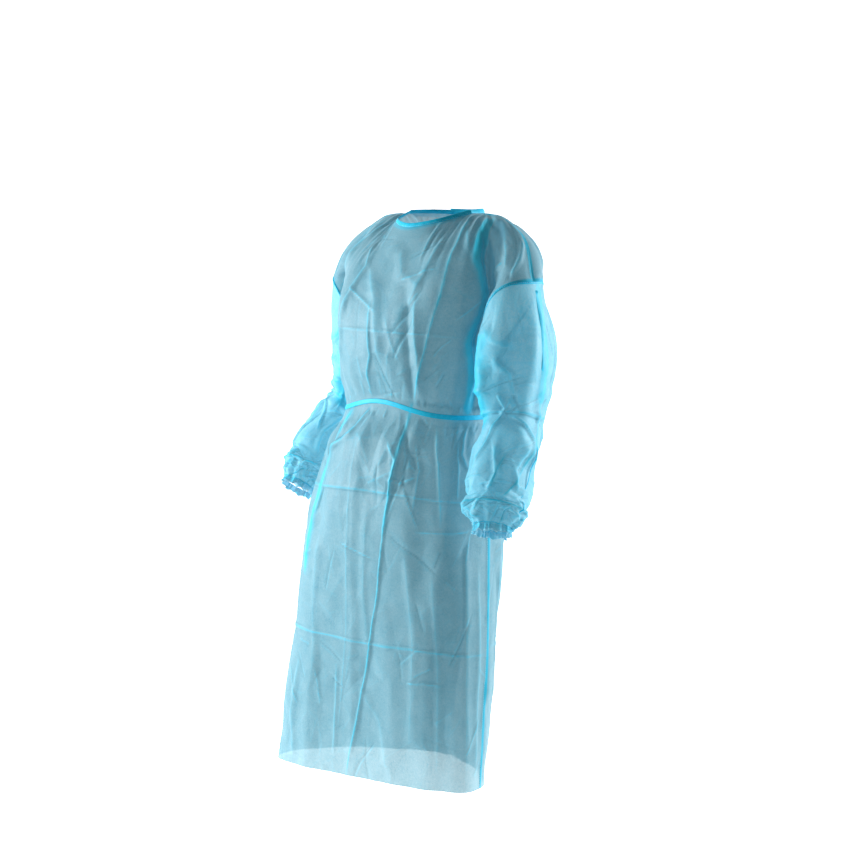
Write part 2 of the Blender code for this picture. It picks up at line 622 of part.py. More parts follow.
def make_binding(material):
    """Tape that stands on the neck edge, from the left back's free edge round to the right's."""
    neck = line_share[2] + 0.001
    drops = [0, 0.02]
    left = back_columns(1)
    left = back_grid(left[left < neck], drops, 1)[0]
    front = front_columns()
    front = panel_grid(front[np.abs(front) < neck], drops, True)[0][::-1]
    right = back_columns(-1)
    right = back_grid(right[right > -neck], drops, -1)[0]
    corners = [(left[-1:] + front[:1]) / 2, (front[-1:] + right[:1]) / 2]
    line = np.concatenate([left[:-1], corners[0], front[1:-1], corners[1], right[1:]])
    outward = unit(line * [1, 1, 0])
    lean = np.interp(outward[:, 1], [-1, 0, 1], [0.45, 0.9, 0.25])
    up = unit(np.array([0, 0, 1]) - outward * lean[:, None])
    low = line + up * seam_gap
    grid = np.array([low + up * tape_width, low])
    normals = unit(outward + lean[:, None] * np.array([0, 0, 1]))
    normals = np.array([normals, normals])
    return laid_tape("neck_binding", grid, normals, -wall, wall, material)


def ribbon(name, line, wide, across, material):
    """Flat tape along a line of points; across is the direction of its width."""
    line = np.asarray(line, float)
    across = unit(np.asarray(across, float))
    grid = np.array([line - across * wide / 2, line + across * wide / 2])
    return cloth_wall(name, grid, 1, material, thick=tape_thick)


def make_knot(name, centre, size, material):
    """Small tight knot, a rounded block."""
    shape = bmesh.new()
    bmesh.ops.create_icosphere(shape, subdivisions=2, radius=0.5)
    mesh = bpy.data.meshes.new(name)
    for vertex in shape.verts:
        vertex.co = [centre[axis] + vertex.co[axis] * size[axis] for axis in range(3)]
    shape.to_mesh(mesh)
    shape.free()
    mesh.materials.append(material)
    knot = bpy.data.objects.new(name, mesh)
    bpy.context.collection.objects.link(knot)
    return knot


def belt_side(shares, front):
    """Edges of the belt on one panel's points, with the normals there."""
    drops = panel_drops()
    row, edges = belt_rows(drops)
    grid = panel_grid(shares, drops, True) if front else back_grid(shares, drops, 1)
    normals = (-1 if front else 1) * grid_normals(grid)
    points = np.array([grid[row] + (grid[row + 1] - grid[row]) * edge for edge in edges])
    outs = np.array([unit(normals[row] * (1 - edge) + normals[row + 1] * edge) for edge in edges])
    return points, outs


def make_belt(material):
    """Belt from one side of the knot at the back, round the front, to the knot's other side."""
    back = back_columns(1)
    back = back[back >= 0]
    back[0] = belt_end
    right, right_outs = belt_side(-back[::-1], False)
    front, front_outs = belt_side(front_columns(), True)
    left, left_outs = belt_side(back, False)
    points = np.concatenate([right[:, :0:-1], front, left[:, -2::-1]], axis=1)
    outs = np.concatenate([right_outs[:, :0:-1], front_outs, left_outs[:, -2::-1]], axis=1)
    return laid_tape("waist_belt", points, outs, 0.0005, tape_thick, material)


def make_tail(name, knot, size, side, drop, sway, material):
    """Free end that hangs from under a knot; the left one lies over the right one."""
    top = knot + np.array([side * 0.0015, 0.0006 if side > 0 else -tape_thick, -size[2] / 2 - 3 * seam_gap])
    line = [top + np.array([side * 0.1 * down, sway(down), -down]) for down in np.linspace(0, drop, 9)]
    ribbon(name, line, tape_width, (1, 0, 0), material)


def make_ties(material):
    """Small tight knots at the nape and on the belt, with two free ends under each."""
    nape = back_grid([-0.05, 0, 0.05], [0, 0.02], 1)[0, 1] + np.array([0.010, 0.0036, 0.002])
    waist = belt_side(np.array([belt_end, 0.05, 0.07]), False)[0].mean(0)[0]
    belt = np.array([0, waist[1] + 0.0084, waist[2]])
    nape_size, belt_size = (0.013, 0.009, 0.011), (0.017, 0.013, 0.015)
    make_knot("nape_knot", nape, nape_size, material)
    make_knot("belt_knot", belt, belt_size, material)
    for name, side in (("left", 1), ("right", -1)):
        make_tail("nape_tail_" + name, nape, nape_size, side, 0.085,
                  lambda down: 0.29 * down + 0.0035 * math.sin(36 * down), material)
        make_tail("belt_tail_" + name, belt, belt_size, side, 0.25 + side * 0.02,
                  lambda down: 0.022 * math.sin(6 * down), material)


clear_scene()
cloth = make_material("gown_cloth", (0.30, 0.66, 0.80, 1), 0.62)
tape = make_material("gown_tape", (0.05, 0.52, 0.68, 1), 0.55)
elastic = make_material("cuff_casing", (0.12, 0.58, 0.72, 1), 0.6)
make_front(cloth)
make_back("back_left_panel", 1, cloth)
make_back("back_right_panel", -1, cloth)
for side_name, side_sign, side_stations in (("left", 1, left_stations), ("right", -1, right_stations)):
    make_sleeve("sleeve_" + side_name, side_stations, side_sign, cloth)
    make_cuff("cuff_" + side_name, side_stations, side_sign, elastic)
    make_armhole_seam("armhole_seam_" + side_name, side_stations, side_sign, tape)
    make_sleeve_seam("sleeve_seam_" + side_name, side_stations, side_sign, tape)
make_binding(tape)
make_belt(tape)
make_ties(tape)
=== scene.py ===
import math

import bmesh
import bpy
import numpy as np
from mathutils import Matrix, Vector
from mathutils.geometry import delaunay_2d_cdt


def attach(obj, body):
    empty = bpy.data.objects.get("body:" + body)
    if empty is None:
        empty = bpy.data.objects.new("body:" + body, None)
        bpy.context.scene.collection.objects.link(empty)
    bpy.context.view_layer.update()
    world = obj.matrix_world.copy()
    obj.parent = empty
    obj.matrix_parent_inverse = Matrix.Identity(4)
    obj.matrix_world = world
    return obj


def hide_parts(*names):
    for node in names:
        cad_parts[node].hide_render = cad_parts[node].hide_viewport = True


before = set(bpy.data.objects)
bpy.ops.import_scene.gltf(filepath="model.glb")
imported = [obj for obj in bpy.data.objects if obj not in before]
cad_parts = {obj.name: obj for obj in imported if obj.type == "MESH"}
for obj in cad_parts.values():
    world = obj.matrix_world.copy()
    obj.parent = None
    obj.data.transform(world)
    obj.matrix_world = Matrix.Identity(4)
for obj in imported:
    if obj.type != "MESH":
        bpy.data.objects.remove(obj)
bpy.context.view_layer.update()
bpy.ops.object.select_all(action="DESELECT")

# Sizes of the garment that its pieces share, as the solids have them
halfFront = 0.325
overlap = 0.044
backApart = 0.0032
beltDrop = 0.383
beltRise = 0.027
hemDrop = 1.082
tapeWidth = 0.009
cuffDepth = 0.013
# The belt's front hangs in a low bow, this tall down the cloth and this wide in shares across
beltBow = dict(tall=0.11, wide=0.40, middle=-0.02)
# The cloth lies this far inside its solid's outer face
inset = 0.0005

# Flat distance of each control line from the middle of a panel: middle, collar, neck side, ridge
# before the armhole, gap in the armpit, over the sleeve's head, armhole or side seam
lineNames = ["middle", "collar", "neck", "ridge", "gap", "over", "seam"]
lineShare = np.array([0.0, 0.20, 0.40, 0.57, 0.69, 0.81, 1.0])

# Armhole ring by side, with the armpit lower than the rest. The right one sits further back, so the
# yoke's lines move with it by these shares
armhole = dict(top=-0.126, across=0.050, along=0.0625, armpit=0.121)
armholeX = {1: 0.225, -1: -0.222}
armholeY = {1: -0.035, -1: -0.002}
backShare = np.array([0.0, 0.0, 0.0, 0.1, 0.3, 0.6, 1.0])


def named(columns, rows):
    # rows of a table as dictionaries; a row may leave out its last columns
    return [dict(zip(columns, row)) for row in rows]


# Yoke rows from the shoulder down to the armpit, on the wearer's left. turn says where the row
# ends on the armhole ring, in turns from its outside
yokeColumns = ["drop", "turn"] + lineNames[:-1]
frontYoke = named(yokeColumns, [
    (0.0, 0.0, (0.0, -0.086, -0.027), (0.06, -0.062, -0.017), (0.086, 0.0, 0.0),
     (0.135, -0.001, -0.001), (0.172, -0.003, -0.009), (0.226, -0.01, -0.042)),
    (0.085, 1 / 6, (0.0, -0.122, -0.085), (0.063, -0.116, -0.08), (0.115, -0.103, -0.074),
     (0.17, -0.08, -0.074), (0.181, -0.05, -0.076), (0.222, -0.064, -0.092)),
    (0.165, 1 / 3, (0.0, -0.156, -0.16), (0.07, -0.152, -0.157), (0.128, -0.138, -0.155),
     (0.182, -0.08, -0.152), (0.171, -0.043, -0.158), (0.187, -0.054, -0.168)),
])
backYoke = named(yokeColumns, [
    (0.0, 0.0, (0.0, 0.086, -0.002), (0.06, 0.061, 0.0), (0.086, 0.0, 0.0), (0.135, -0.001, -0.001),
     (0.172, -0.003, -0.009), (0.226, -0.01, -0.042)),
    (0.085, 1 / 6, (0.0, 0.106, -0.074), (0.063, 0.102, -0.07), (0.115, 0.094, -0.068),
     (0.165, 0.076, -0.07), (0.192, 0.056, -0.078), (0.222, 0.042, -0.092)),
    (0.165, 1 / 3, (0.0, 0.112, -0.155), (0.07, 0.109, -0.155), (0.122, 0.098, -0.155),
     (0.163, 0.07, -0.158), (0.18, 0.046, -0.163), (0.193, 0.03, -0.176)),
])

# Sections below the armpit: centre, half width on each side, depth in front and behind, twist in
# degrees, how square the front and the back are, and how far the columns crowd to the side
sectionColumns = ["drop", "x", "y", "left", "right", "front", "back", "twist", "fore", "aft", "crowd"]
sections = named(sectionColumns, [
    (0.25, 0.0, -0.03, 0.172, 0.172, 0.147, 0.13, 0, 2.7, 2.4, 1.25),
    (0.315, 0.0, -0.034, 0.167, 0.172, 0.14, 0.122, 0, 2.6, 2.4, 1.25),
    (beltDrop, 0.0, -0.04, 0.162, 0.166, 0.122, 0.108, 1, 2.5, 2.3, 1.1),
    (0.45, 0.0, -0.056, 0.176, 0.183, 0.138, 0.128, 1, 2.5, 2.2, 1.0),
    (0.55, 0.0, -0.075, 0.197, 0.208, 0.142, 0.15, 2, 2.6, 2.1, 1.0),
    (0.68, 0.0, -0.095, 0.209, 0.222, 0.128, 0.16, 4, 2.9, 1.9, 1.0),
    (0.82, -0.002, -0.11, 0.216, 0.232, 0.108, 0.166, 6, 3.2, 1.7, 1.0),
    (0.95, -0.008, -0.124, 0.219, 0.239, 0.088, 0.166, 8, 3.6, 1.6, 1.0),
    (hemDrop, -0.013, -0.136, 0.221, 0.246, 0.072, 0.172, 10, 4.0, 1.5, 1.0),
])

# Sleeve stations on the wearer's left and right: centre, half width across and half depth
stationColumns = ["x", "y", "z", "across", "along"]
leftStations = named(stationColumns, [
    (0.24, -0.043, -0.262, 0.059, 0.079),
    (0.242, -0.052, -0.33, 0.057, 0.074),
    (0.25, -0.066, -0.395, 0.054, 0.064),
    (0.263, -0.096, -0.452, 0.056, 0.063),
    (0.276, -0.127, -0.5, 0.058, 0.064),
    (0.283, -0.141, -0.524, 0.052, 0.056),
    (0.287, -0.148, -0.538, 0.056, 0.061),
    (0.292, -0.158, -0.557, 0.042, 0.046),
    (0.294, -0.162, -0.567, 0.034, 0.037),
])
rightStations = named(stationColumns, [
    (-0.232, 0.018, -0.262, 0.057, 0.075),
    (-0.237, 0.018, -0.335, 0.055, 0.07),
    (-0.25, 0.004, -0.395, 0.053, 0.062),
    (-0.262, -0.032, -0.44, 0.053, 0.058),
    (-0.27, -0.072, -0.48, 0.055, 0.059),
    (-0.273, -0.089, -0.502, 0.049, 0.053),
    (-0.275, -0.099, -0.516, 0.052, 0.057),
    (-0.277, -0.114, -0.535, 0.04, 0.044),
    (-0.278, -0.121, -0.545, 0.033, 0.036),
])

# Folds from one flat point to another, as share across (+ is the wearer's left) and drop, with the
# fold's half width and how far it stands out
foldColumns = ["x0", "y0", "x1", "y1", "wide", "out"]
frontFolds = named(foldColumns, [
    (-0.06, 0.05, -0.1, 1.08, 0.016, 0.0028),
    (-0.52, 0.4, -0.42, 0.62, 0.022, -0.0066),
    (-0.72, 0.41, -0.66, 0.6, 0.02, 0.005),
    (-0.34, 0.1, -0.48, 0.3, 0.018, 0.0028),
    (0.46, 0.4, 0.5, 0.7, 0.022, -0.0055),
    (0.2, 0.72, 0.26, 1.08, 0.03, 0.0044),
    (-0.46, 0.85, -0.5, 1.08, 0.024, 0.005),
    (0.62, 0.74, 0.66, 1.08, 0.026, -0.0055),
])
backFolds = named(foldColumns, [
    (0.4, 0.12, 0.34, 0.36, 0.024, 0.0048),
    (-0.42, 0.1, -0.34, 0.36, 0.024, 0.0054),
    (0.44, 0.41, 0.5, 0.8, 0.026, 0.0072),
    (-0.4, 0.41, -0.48, 0.84, 0.026, 0.0066),
    (0.7, 0.42, 0.74, 1.08, 0.028, -0.006),
    (-0.72, 0.42, -0.76, 1.08, 0.028, -0.006),
    (0.28, 0.76, 0.3, 1.08, 0.03, -0.0054),
    (-0.26, 0.72, -0.3, 1.08, 0.03, -0.0054),
])

# Pleats that the neck binding gathers, and those that the belt gathers: share across of the first
# and the last, how many on each side, how far they stand out and how far they reach
neckPleats = dict(first=0.20, last=0.56, count=6, out=0.0020, reach=0.13)
beltPleats = dict(first=0.10, last=0.92, count=7, out=0.0009, reach=0.13)
# Folds stay this far off the belt, then fade in, as they do from the seams and from the top edge
beltFlat = 0.008
foldFade = dict(seam=0.10, top=0.02, belt=0.02)

# Folds on a sleeve: the same, as turns from the outside and stations down
sleeveFolds = named(foldColumns, [
    (-0.34, 0.3, -0.28, 2.2, 0.05, 0.009),
    (-0.02, 0.5, -0.1, 4.4, 0.045, 0.007),
    (-0.4, 3.2, -0.16, 2.8, 0.04, -0.009),
    (-0.3, 3.0, 0.02, 3.9, 0.04, 0.008),
    (0.2, 0.8, 0.28, 4.0, 0.05, 0.008),
    (0.4, 2.6, 0.6, 3.2, 0.045, -0.008),
])
wristGathers = dict(count=12, out=0.0022, start=3.2, reach=2.2)


def slopes(knots, values):
    steps = np.diff(knots).reshape([-1] + [1] * (values.ndim - 1))
    rise = np.diff(values, axis=0) / steps
    inner = (rise[:-1] * steps[1:] + rise[1:] * steps[:-1]) / (steps[1:] + steps[:-1])
    return np.concatenate([rise[:1], inner, rise[-1:]])


def smooth(knots, values, at):
    # smooth curve through values at rising knots, read at each of at
    values = np.asarray(values, float)
    knots = np.asarray(knots, float)
    slope = slopes(knots, values)
    place = np.clip(np.searchsorted(knots, at, side="right") - 1, 0, len(knots) - 2)
    shape = [-1] + [1] * (values.ndim - 1)
    step = (knots[place + 1] - knots[place]).reshape(shape)
    t = (np.asarray(at, float) - knots[place]).reshape(shape) / step
    first = values[place] * (2 * t**3 - 3 * t**2 + 1) + slope[place] * step * (t**3 - 2 * t**2 + t)
    return first + values[place + 1] * (3 * t**2 - 2 * t**3) + slope[place + 1] * step * (t**3 - t**2)


def armholePoint(turn, side=1):
    # point on the armhole ring; turn 0 is outside, -0.25 in front, 0.5 in the armpit
    angle = turn * 2 * math.pi
    lower = armhole["armpit"] * ((1 - math.cos(angle)) / 2) ** 2
    x = armholeX[side] + side * armhole["across"] * math.cos(angle)
    y = armholeY[side] + armhole["along"] * math.sin(angle)
    return np.array([x, y, armhole["top"] - lower])


def yokeRow(row, shares, facing):
    # points across a yoke row at signed shares of the half width
    half = [row[name] for name in lineNames[:-1]]
    half.append(tuple(armholePoint(facing * row["turn"])))
    half = np.array(half)
    right = half * [-1, 1, 1] + np.outer(backShare, [0, armholeY[-1] - armholeY[1], 0])
    right[-1] = armholePoint(facing * row["turn"], -1)
    knots = np.concatenate([-lineShare[:0:-1], lineShare])
    whole = np.concatenate([right[:0:-1], half])
    shares = np.asarray(shares, float)
    if row["drop"] > 0:
        return smooth(knots, whole, shares)
    # the shoulder row turns a corner where the neck opening meets the shoulder line
    neck = np.abs(knots) <= lineShare[2]
    points = smooth(knots[neck], whole[neck], np.clip(shares, -lineShare[2], lineShare[2]))
    for side, pointsThere in ((1, half), (-1, right)):
        beyond = shares * side > lineShare[2]
        points[beyond] = smooth(lineShare[2:], pointsThere[2:], np.abs(shares[beyond]))
    return points


def sectionRow(row, shares, front):
    # points across a section at signed shares, evenly along its outline from the middle
    shares = np.clip(shares, -1, 1)
    points = np.zeros((len(shares), 3))
    t = np.linspace(0, math.pi / 2, 181)
    power = row["fore"] if front else row["aft"]
    deep = -row["front"] if front else row["back"]
    for side, half in ((-1, row["right"]), (1, row["left"])):
        x = side * half * np.sin(t) ** (2 / power)
        y = deep * np.cos(t) ** (2 / power)
        run = np.concatenate([[0], np.cumsum(np.hypot(np.diff(x), np.diff(y)))])
        here = (np.sign(shares) == side) | ((np.asarray(shares) == 0) & (side == 1))
        at = (1 - (1 - np.abs(shares[here])) ** row["crowd"]) * run[-1]
        points[here, 0] = np.interp(at, run, x)
        points[here, 1] = np.interp(at, run, y)
    twist = math.radians(row["twist"])
    x = points[:, 0] * math.cos(twist) - points[:, 1] * math.sin(twist)
    y = points[:, 0] * math.sin(twist) + points[:, 1] * math.cos(twist)
    return np.stack([x + row["x"], y + row["y"], np.full(len(x), -row["drop"])], 1)


def ramp(distance, reach):
    # from 0 at no distance to 1 at its reach and beyond
    return np.clip(distance / reach, 0, 1)


def unit(vectors):
    return vectors / np.maximum(np.linalg.norm(vectors, axis=-1, keepdims=True), 1e-9)


def gridNormals(grid, closed=False):
    # unit normal at each grid point, from the lines through it
    down = np.gradient(grid, axis=0)
    if closed:
        across = (np.roll(grid, -1, axis=1) - np.roll(grid, 1, axis=1)) / 2
    else:
        across = np.gradient(grid, axis=1)
    return unit(np.cross(across, down))


def foldHeight(folds, across, drop):
    # sum of soft ridges and troughs, each along a straight line on the flat cloth
    height = np.zeros_like(across)
    for fold in folds:
        start = np.array([fold["x0"] * halfFront, fold["y0"]])
        run = np.array([fold["x1"] * halfFront, fold["y1"]]) - start
        place = ((across - start[0]) * run[0] + (drop - start[1]) * run[1]) / (run @ run)
        near = np.clip(place, 0, 1)
        gap = np.hypot(across - start[0] - near * run[0], drop - start[1] - near * run[1])
        ends = ramp(np.minimum(place + 0.15, 1.15 - place), 0.3)
        if fold["y1"] > hemDrop - 0.05:
            ends = np.where(place > 0.5, 1, ends)
        height += fold["out"] * np.exp(-((gap / fold["wide"]) ** 2)) * ends
    return height


def pleatHeight(share, drop):
    # pleats fanning down from the neck binding and from both sides of the belt
    away = np.abs(drop - beltDrop)
    height = 0
    for pleats, distance, flat, rise in ((neckPleats, drop, 0, 0.012), (beltPleats, away, beltFlat, 0.03)):
        size = np.abs(share)
        inside = (size > pleats["first"]) & (size < pleats["last"])
        phase = (size - pleats["first"]) / (pleats["last"] - pleats["first"]) * pleats["count"]
        fade = ramp(distance - flat, rise) * ramp(pleats["reach"] - distance, pleats["reach"])
        height = height + pleats["out"] * np.sin(phase * 2 * math.pi) * inside * fade
    return height


def edgeRow(row, side, front):
    # where a control row ends at the armhole or the side seam, before the seam is settled
    share = np.array([float(side)])
    if "turn" in row:
        return yokeRow(row, share, -1 if front else 1)[0]
    return sectionRow(row, share, front)[0]


def seamEdge(drops, side, front):
    # the seam that front and back share: round the armhole, then down the side
    out = -1 if front else 1
    knots = [row["drop"] for row in frontYoke] + [sections[0]["drop"]]
    turns = np.interp(drops, knots, [0, 1 / 6, 1 / 3, 1 / 2])
    ring = np.array([armholePoint(out * turn, side) for turn in turns])
    ends = [armholePoint(0.5, side)] + [edgeRow(row, side, True) for row in sections[1:]]
    down = smooth([row["drop"] for row in sections], np.array(ends), np.maximum(drops, knots[-1]))
    return np.where((drops <= knots[-1])[:, None], ring, down)


def panelGrid(shares, drops, front):
    # outer points of the front or the back, a row for each drop and a column for each share
    shares = np.asarray(shares, float)
    drops = np.asarray(drops, float)
    yoke = frontYoke if front else backYoke
    out = -1 if front else 1
    rows = [yokeRow(row, shares, out) for row in yoke]
    rows += [sectionRow(row, shares, front) for row in sections]
    knots = [row["drop"] for row in yoke] + [row["drop"] for row in sections]
    other = yokeRow((backYoke if front else frontYoke)[1], shares, -out)
    over = ramp(np.abs(shares) - 0.36, 0.08)[:, None]
    rows.insert(0, over * other + (1 - over) * (2 * rows[0] - rows[1]))
    knots.insert(0, -knots[1])
    grid = smooth(knots, np.array(rows), drops)
    if front:
        rise = beltRise * np.exp(-(((drops - beltDrop) / beltBow["tall"]) ** 2)) * ramp(drops, 0.1)
        grid[..., 2] += np.outer(rise, np.exp(-(((shares - beltBow["middle"]) / beltBow["wide"]) ** 2)))
    knots, rows = knots[1:], rows[1:]
    pull = ramp(np.abs(shares) - lineShare[2], 1 - lineShare[2])
    for side in (-1, 1):
        near = np.flatnonzero(shares * side > lineShare[2])
        if len(near):
            ends = np.array([edgeRow(row, side, front) for row in yoke + sections])
            shift = seamEdge(drops, side, front) - smooth(knots, ends, drops)
            grid[:, near] += shift[:, None] * pull[near][None, :, None]
    share, drop = np.meshgrid(shares, drops)
    height = foldHeight(frontFolds if front else backFolds, share * halfFront, drop)
    height += pleatHeight(share, drop)
    edge = ramp(1 - np.abs(share), foldFade["seam"]) * ramp(drop, foldFade["top"])
    belt = ramp(np.abs(drop - beltDrop) - beltFlat, foldFade["belt"])
    return grid + out * gridNormals(grid) * (height * edge * belt)[..., None]


def sleeveRows(stations, side, turns):
    # control rings of a sleeve: the armhole ring, then one round each station's centre
    rings = [np.array([armholePoint(turn, side) for turn in turns])]
    centres = np.array([[s["x"], s["y"], s["z"]] for s in stations])
    first = np.array([armholeX[side], armholeY[side], armhole["top"] - armhole["armpit"] / 3])
    along = unit(np.gradient(np.concatenate([[first], centres]), axis=0))[1:]
    for station, centre, tangent in zip(stations, centres, along):
        across = unit(np.array([side, 0, 0]) - side * tangent[0] * tangent)
        deep = side * np.cross(across, tangent)
        angle = np.asarray(turns) * 2 * math.pi
        rings.append(centre + station["across"] * np.cos(angle)[:, None] * across
                     + station["along"] * np.sin(angle)[:, None] * deep)
    return np.array(rings)


def sleeveGrid(stations, side, turns, places):
    # outer points of a sleeve, a row for each place counted in stations from the armhole
    rings = sleeveRows(stations, side, turns)
    grid = smooth(np.arange(len(rings)), rings, places)
    turn, place = np.meshgrid(turns, places)
    height = np.zeros_like(turn)
    for fold in sleeveFolds:
        start = np.array([fold["x0"], fold["y0"] / 8])
        run = np.array([fold["x1"], fold["y1"] / 8]) - start
        for lap in (-1, 0, 1):
            x = turn + lap - start[0]
            y = place / 8 - start[1]
            share = ramp(x * run[0] + y * run[1], run @ run)
            gap = np.hypot(x - share * run[0], y - share * run[1])
            height += fold["out"] * np.exp(-((gap / fold["wide"]) ** 2))
    last = len(rings) - 1
    gather = ramp(place - last + wristGathers["start"], wristGathers["reach"])
    height = height * ramp(place, 0.5) * ramp(last - place, 2)
    height += wristGathers["out"] * gather * np.cos(turn * 2 * math.pi * wristGathers["count"])
    return grid - side * gridNormals(grid, closed=True) * height[..., None]


# Creases that only the cloth has. A line is points on the flat cloth: share across and metres down
# on a panel, turns round and stations down on a sleeve. wide is half the width, out the height,
# crisp how pointed, lean how much one side is a trough, mark how deep a colour it leaves and broad
# the half width of that. A broad band along a fold's edge is partly cloth lying double and partly
# painted light; a mark below zero is painted shade
creaseColumns = ["line", "wide", "out", "crisp", "lean", "mark", "broad"]
frontCreases = named(creaseColumns, [
    ([(0.465, 0.02), (0.44, 0.1), (0.38, 0.25), (0.3, 0.366)], 0.0042, 0.003, 0.8, 0, 0.9),
    ([(0.29, 0.4), (0.285, 0.46), (0.2, 0.6), (0.13, 0.73), (-0.15, 1.082)], 0.0048, 0.0036, 0.8, 0.5,
     0.95),
    ([(0.29, 0.37), (0.285, 0.44), (0.24, 0.53), (0.2, 0.6)], 0.006, 0.001, 0.5, 0, 1.1, 0.005),
    ([(-0.34, 0.39), (-0.43, 0.43), (-0.48, 0.48), (-0.52, 0.56), (-0.6, 0.7)], 0.012, 0.003, 0.3, 0,
     1.4, 0.011),
    ([(-0.08, 0.17), (-0.035, 0.28), (-0.1, 0.37)], 0.0045, 0.0028, 0.7, 0, 0.5),
    ([(-0.108, 0.4), (-0.125, 0.6), (-0.14, 0.8), (-0.25, 1.05)], 0.0048, 0.001, 0.7),
    ([(-0.8, 0.232), (-0.3, 0.226), (0.3, 0.228), (0.6, 0.232)], 0.004, 0.0012, 0.8, 0, 0.12),
    ([(-0.96, 0.532), (-0.33, 0.526), (0.33, 0.526), (0.96, 0.541)], 0.0042, 0.0016, 0.8, 0.4, 0.25),
    ([(0.44, 0.59), (0.7, 0.592), (0.86, 0.588)], 0.0042, 0.0015, 0.8, 0, 0.2),
    ([(-0.96, 0.806), (0.0, 0.812), (0.4, 0.811), (0.97, 0.824)], 0.0045, 0.002, 0.8, -0.4, 0.45),
    ([(0.16, 0.15), (0.26, 0.26), (0.28, 0.36)], 0.013, -0.0065, 0.3),
    ([(0.24, 0.16), (0.33, 0.27), (0.34, 0.36)], 0.011, 0.005, 0.4),
    ([(-0.1, 0.392), (-0.24, 0.432), (-0.54, 0.47)], 0.006, 0.0048, 0.6, 0.6, 0.7),
    ([(-0.3, 0.396), (-0.45, 0.47), (-0.5, 0.56)], 0.0075, 0.003, 0.4, 0.5),
    # the front's edge where it folds back before the armhole: a broad deeper cyan band, partly cloth lying
    # double and partly painted light
    ([(0.6, 0.02), (0.605, 0.1), (0.62, 0.15), (0.655, 0.2), (0.74, 0.28), (0.76, 0.375)], 0.01, 0.006,
     0.4, -0.6, 3.4, 0.0125),
    # the armpit's gap beside that edge: a broad dark band, painted shade
    ([(0.69, 0.02), (0.71, 0.09), (0.74, 0.17), (0.8, 0.22), (0.88, 0.3), (0.88, 0.375)], 0.01, -0.004,
     0.4, 0, -3.0, 0.0125),
    ([(0.8, 0.085), (0.72, 0.13), (0.66, 0.165), (0.7, 0.22)], 0.009, 0.0036, 0.6, 0.5, 0.9),
    ([(0.82, 0.01), (0.885, 0.035), (0.94, 0.07)], 0.008, 0.004, 0.5, 0.7),
    ([(0.7, 0.01), (0.76, 0.05), (0.86, 0.085)], 0.01, 0.004, 0.4),
    ([(-0.44, 0.03), (-0.52, 0.08), (-0.6, 0.15)], 0.008, 0.0045, 0.5, 0.6),
    ([(-0.32, 0.05), (-0.22, 0.11), (-0.34, 0.19), (-0.42, 0.3)], 0.009, 0.0045, 0.5, 0.5),
    ([(-0.62, 0.02), (-0.68, 0.07), (-0.74, 0.14)], 0.008, 0.004, 0.5, -0.6),
    ([(-0.56, 0.15), (-0.6, 0.26), (-0.58, 0.365)], 0.011, 0.0055, 0.4, 0.6),
    ([(-0.2, 0.1), (-0.05, 0.17), (0.05, 0.3)], 0.012, 0.0035, 0.3, 0.4),
    ([(0.02, 0.06), (0.1, 0.12), (0.28, 0.15)], 0.012, 0.003, 0.3),
    ([(0.36, 0.05), (0.3, 0.12), (0.14, 0.2)], 0.011, 0.0035, 0.4, -0.5),
    ([(0.18, 0.445), (0.27, 0.47), (0.24, 0.53)], 0.0053, 0.0025, 0.6, 0.6, 0.5),
    ([(0.3, 0.425), (0.36, 0.46), (0.34, 0.52)], 0.0053, -0.0018, 0.6, 0.6),
    ([(0.4, 0.43), (0.46, 0.48), (0.42, 0.56)], 0.006, 0.0022, 0.6),
    ([(0.2, 0.5), (0.32, 0.505), (0.45, 0.49)], 0.0045, 0.0021, 0.6, -0.6),
    ([(0.52, 0.4), (0.6, 0.47), (0.62, 0.58)], 0.0067, 0.003, 0.5, 0.6, 0.4),
    ([(0.77, 0.4), (0.765, 0.45), (0.83, 0.48)], 0.006, 0.0022, 0.6, 0.6),
    ([(-0.7, 0.42), (-0.74, 0.6), (-0.7, 0.8)], 0.01, 0.0022, 0.4, 0.5),
    ([(-0.42, 0.6), (-0.46, 0.76), (-0.44, 0.92)], 0.012, 0.002, 0.3, 0.5),
    ([(-0.235, 0.86), (-0.265, 1.05)], 0.006, 0.0018, 0.6, 0.6),
    ([(0.06, 0.54), (0.02, 0.7), (0.06, 0.86)], 0.012, 0.0018, 0.3, -0.5),
    ([(0.36, 0.6), (0.42, 0.8), (0.4, 1.02)], 0.012, 0.0021, 0.4, 0.5),
    ([(0.56, 0.66), (0.6, 0.86), (0.62, 1.06)], 0.01, 0.0022, 0.4, 0.6),
    ([(0.79, 0.6), (0.8, 0.8), (0.84, 1.07)], 0.008, 0.002, 0.5, 0.7),
    ([(0.9, 0.64), (0.92, 0.86), (0.93, 1.06)], 0.008, 0.002, 0.5, -0.6),
    ([(-0.6, 0.86), (-0.66, 0.98), (-0.64, 1.08)], 0.01, 0.0022, 0.4, 0.6),
    ([(-0.85, 0.62), (-0.88, 0.84), (-0.86, 1.06)], 0.01, 0.002, 0.4),
    ([(-0.06, 0.9), (0.14, 0.96), (0.22, 1.07)], 0.012, 0.0018, 0.3, 0.5),
])
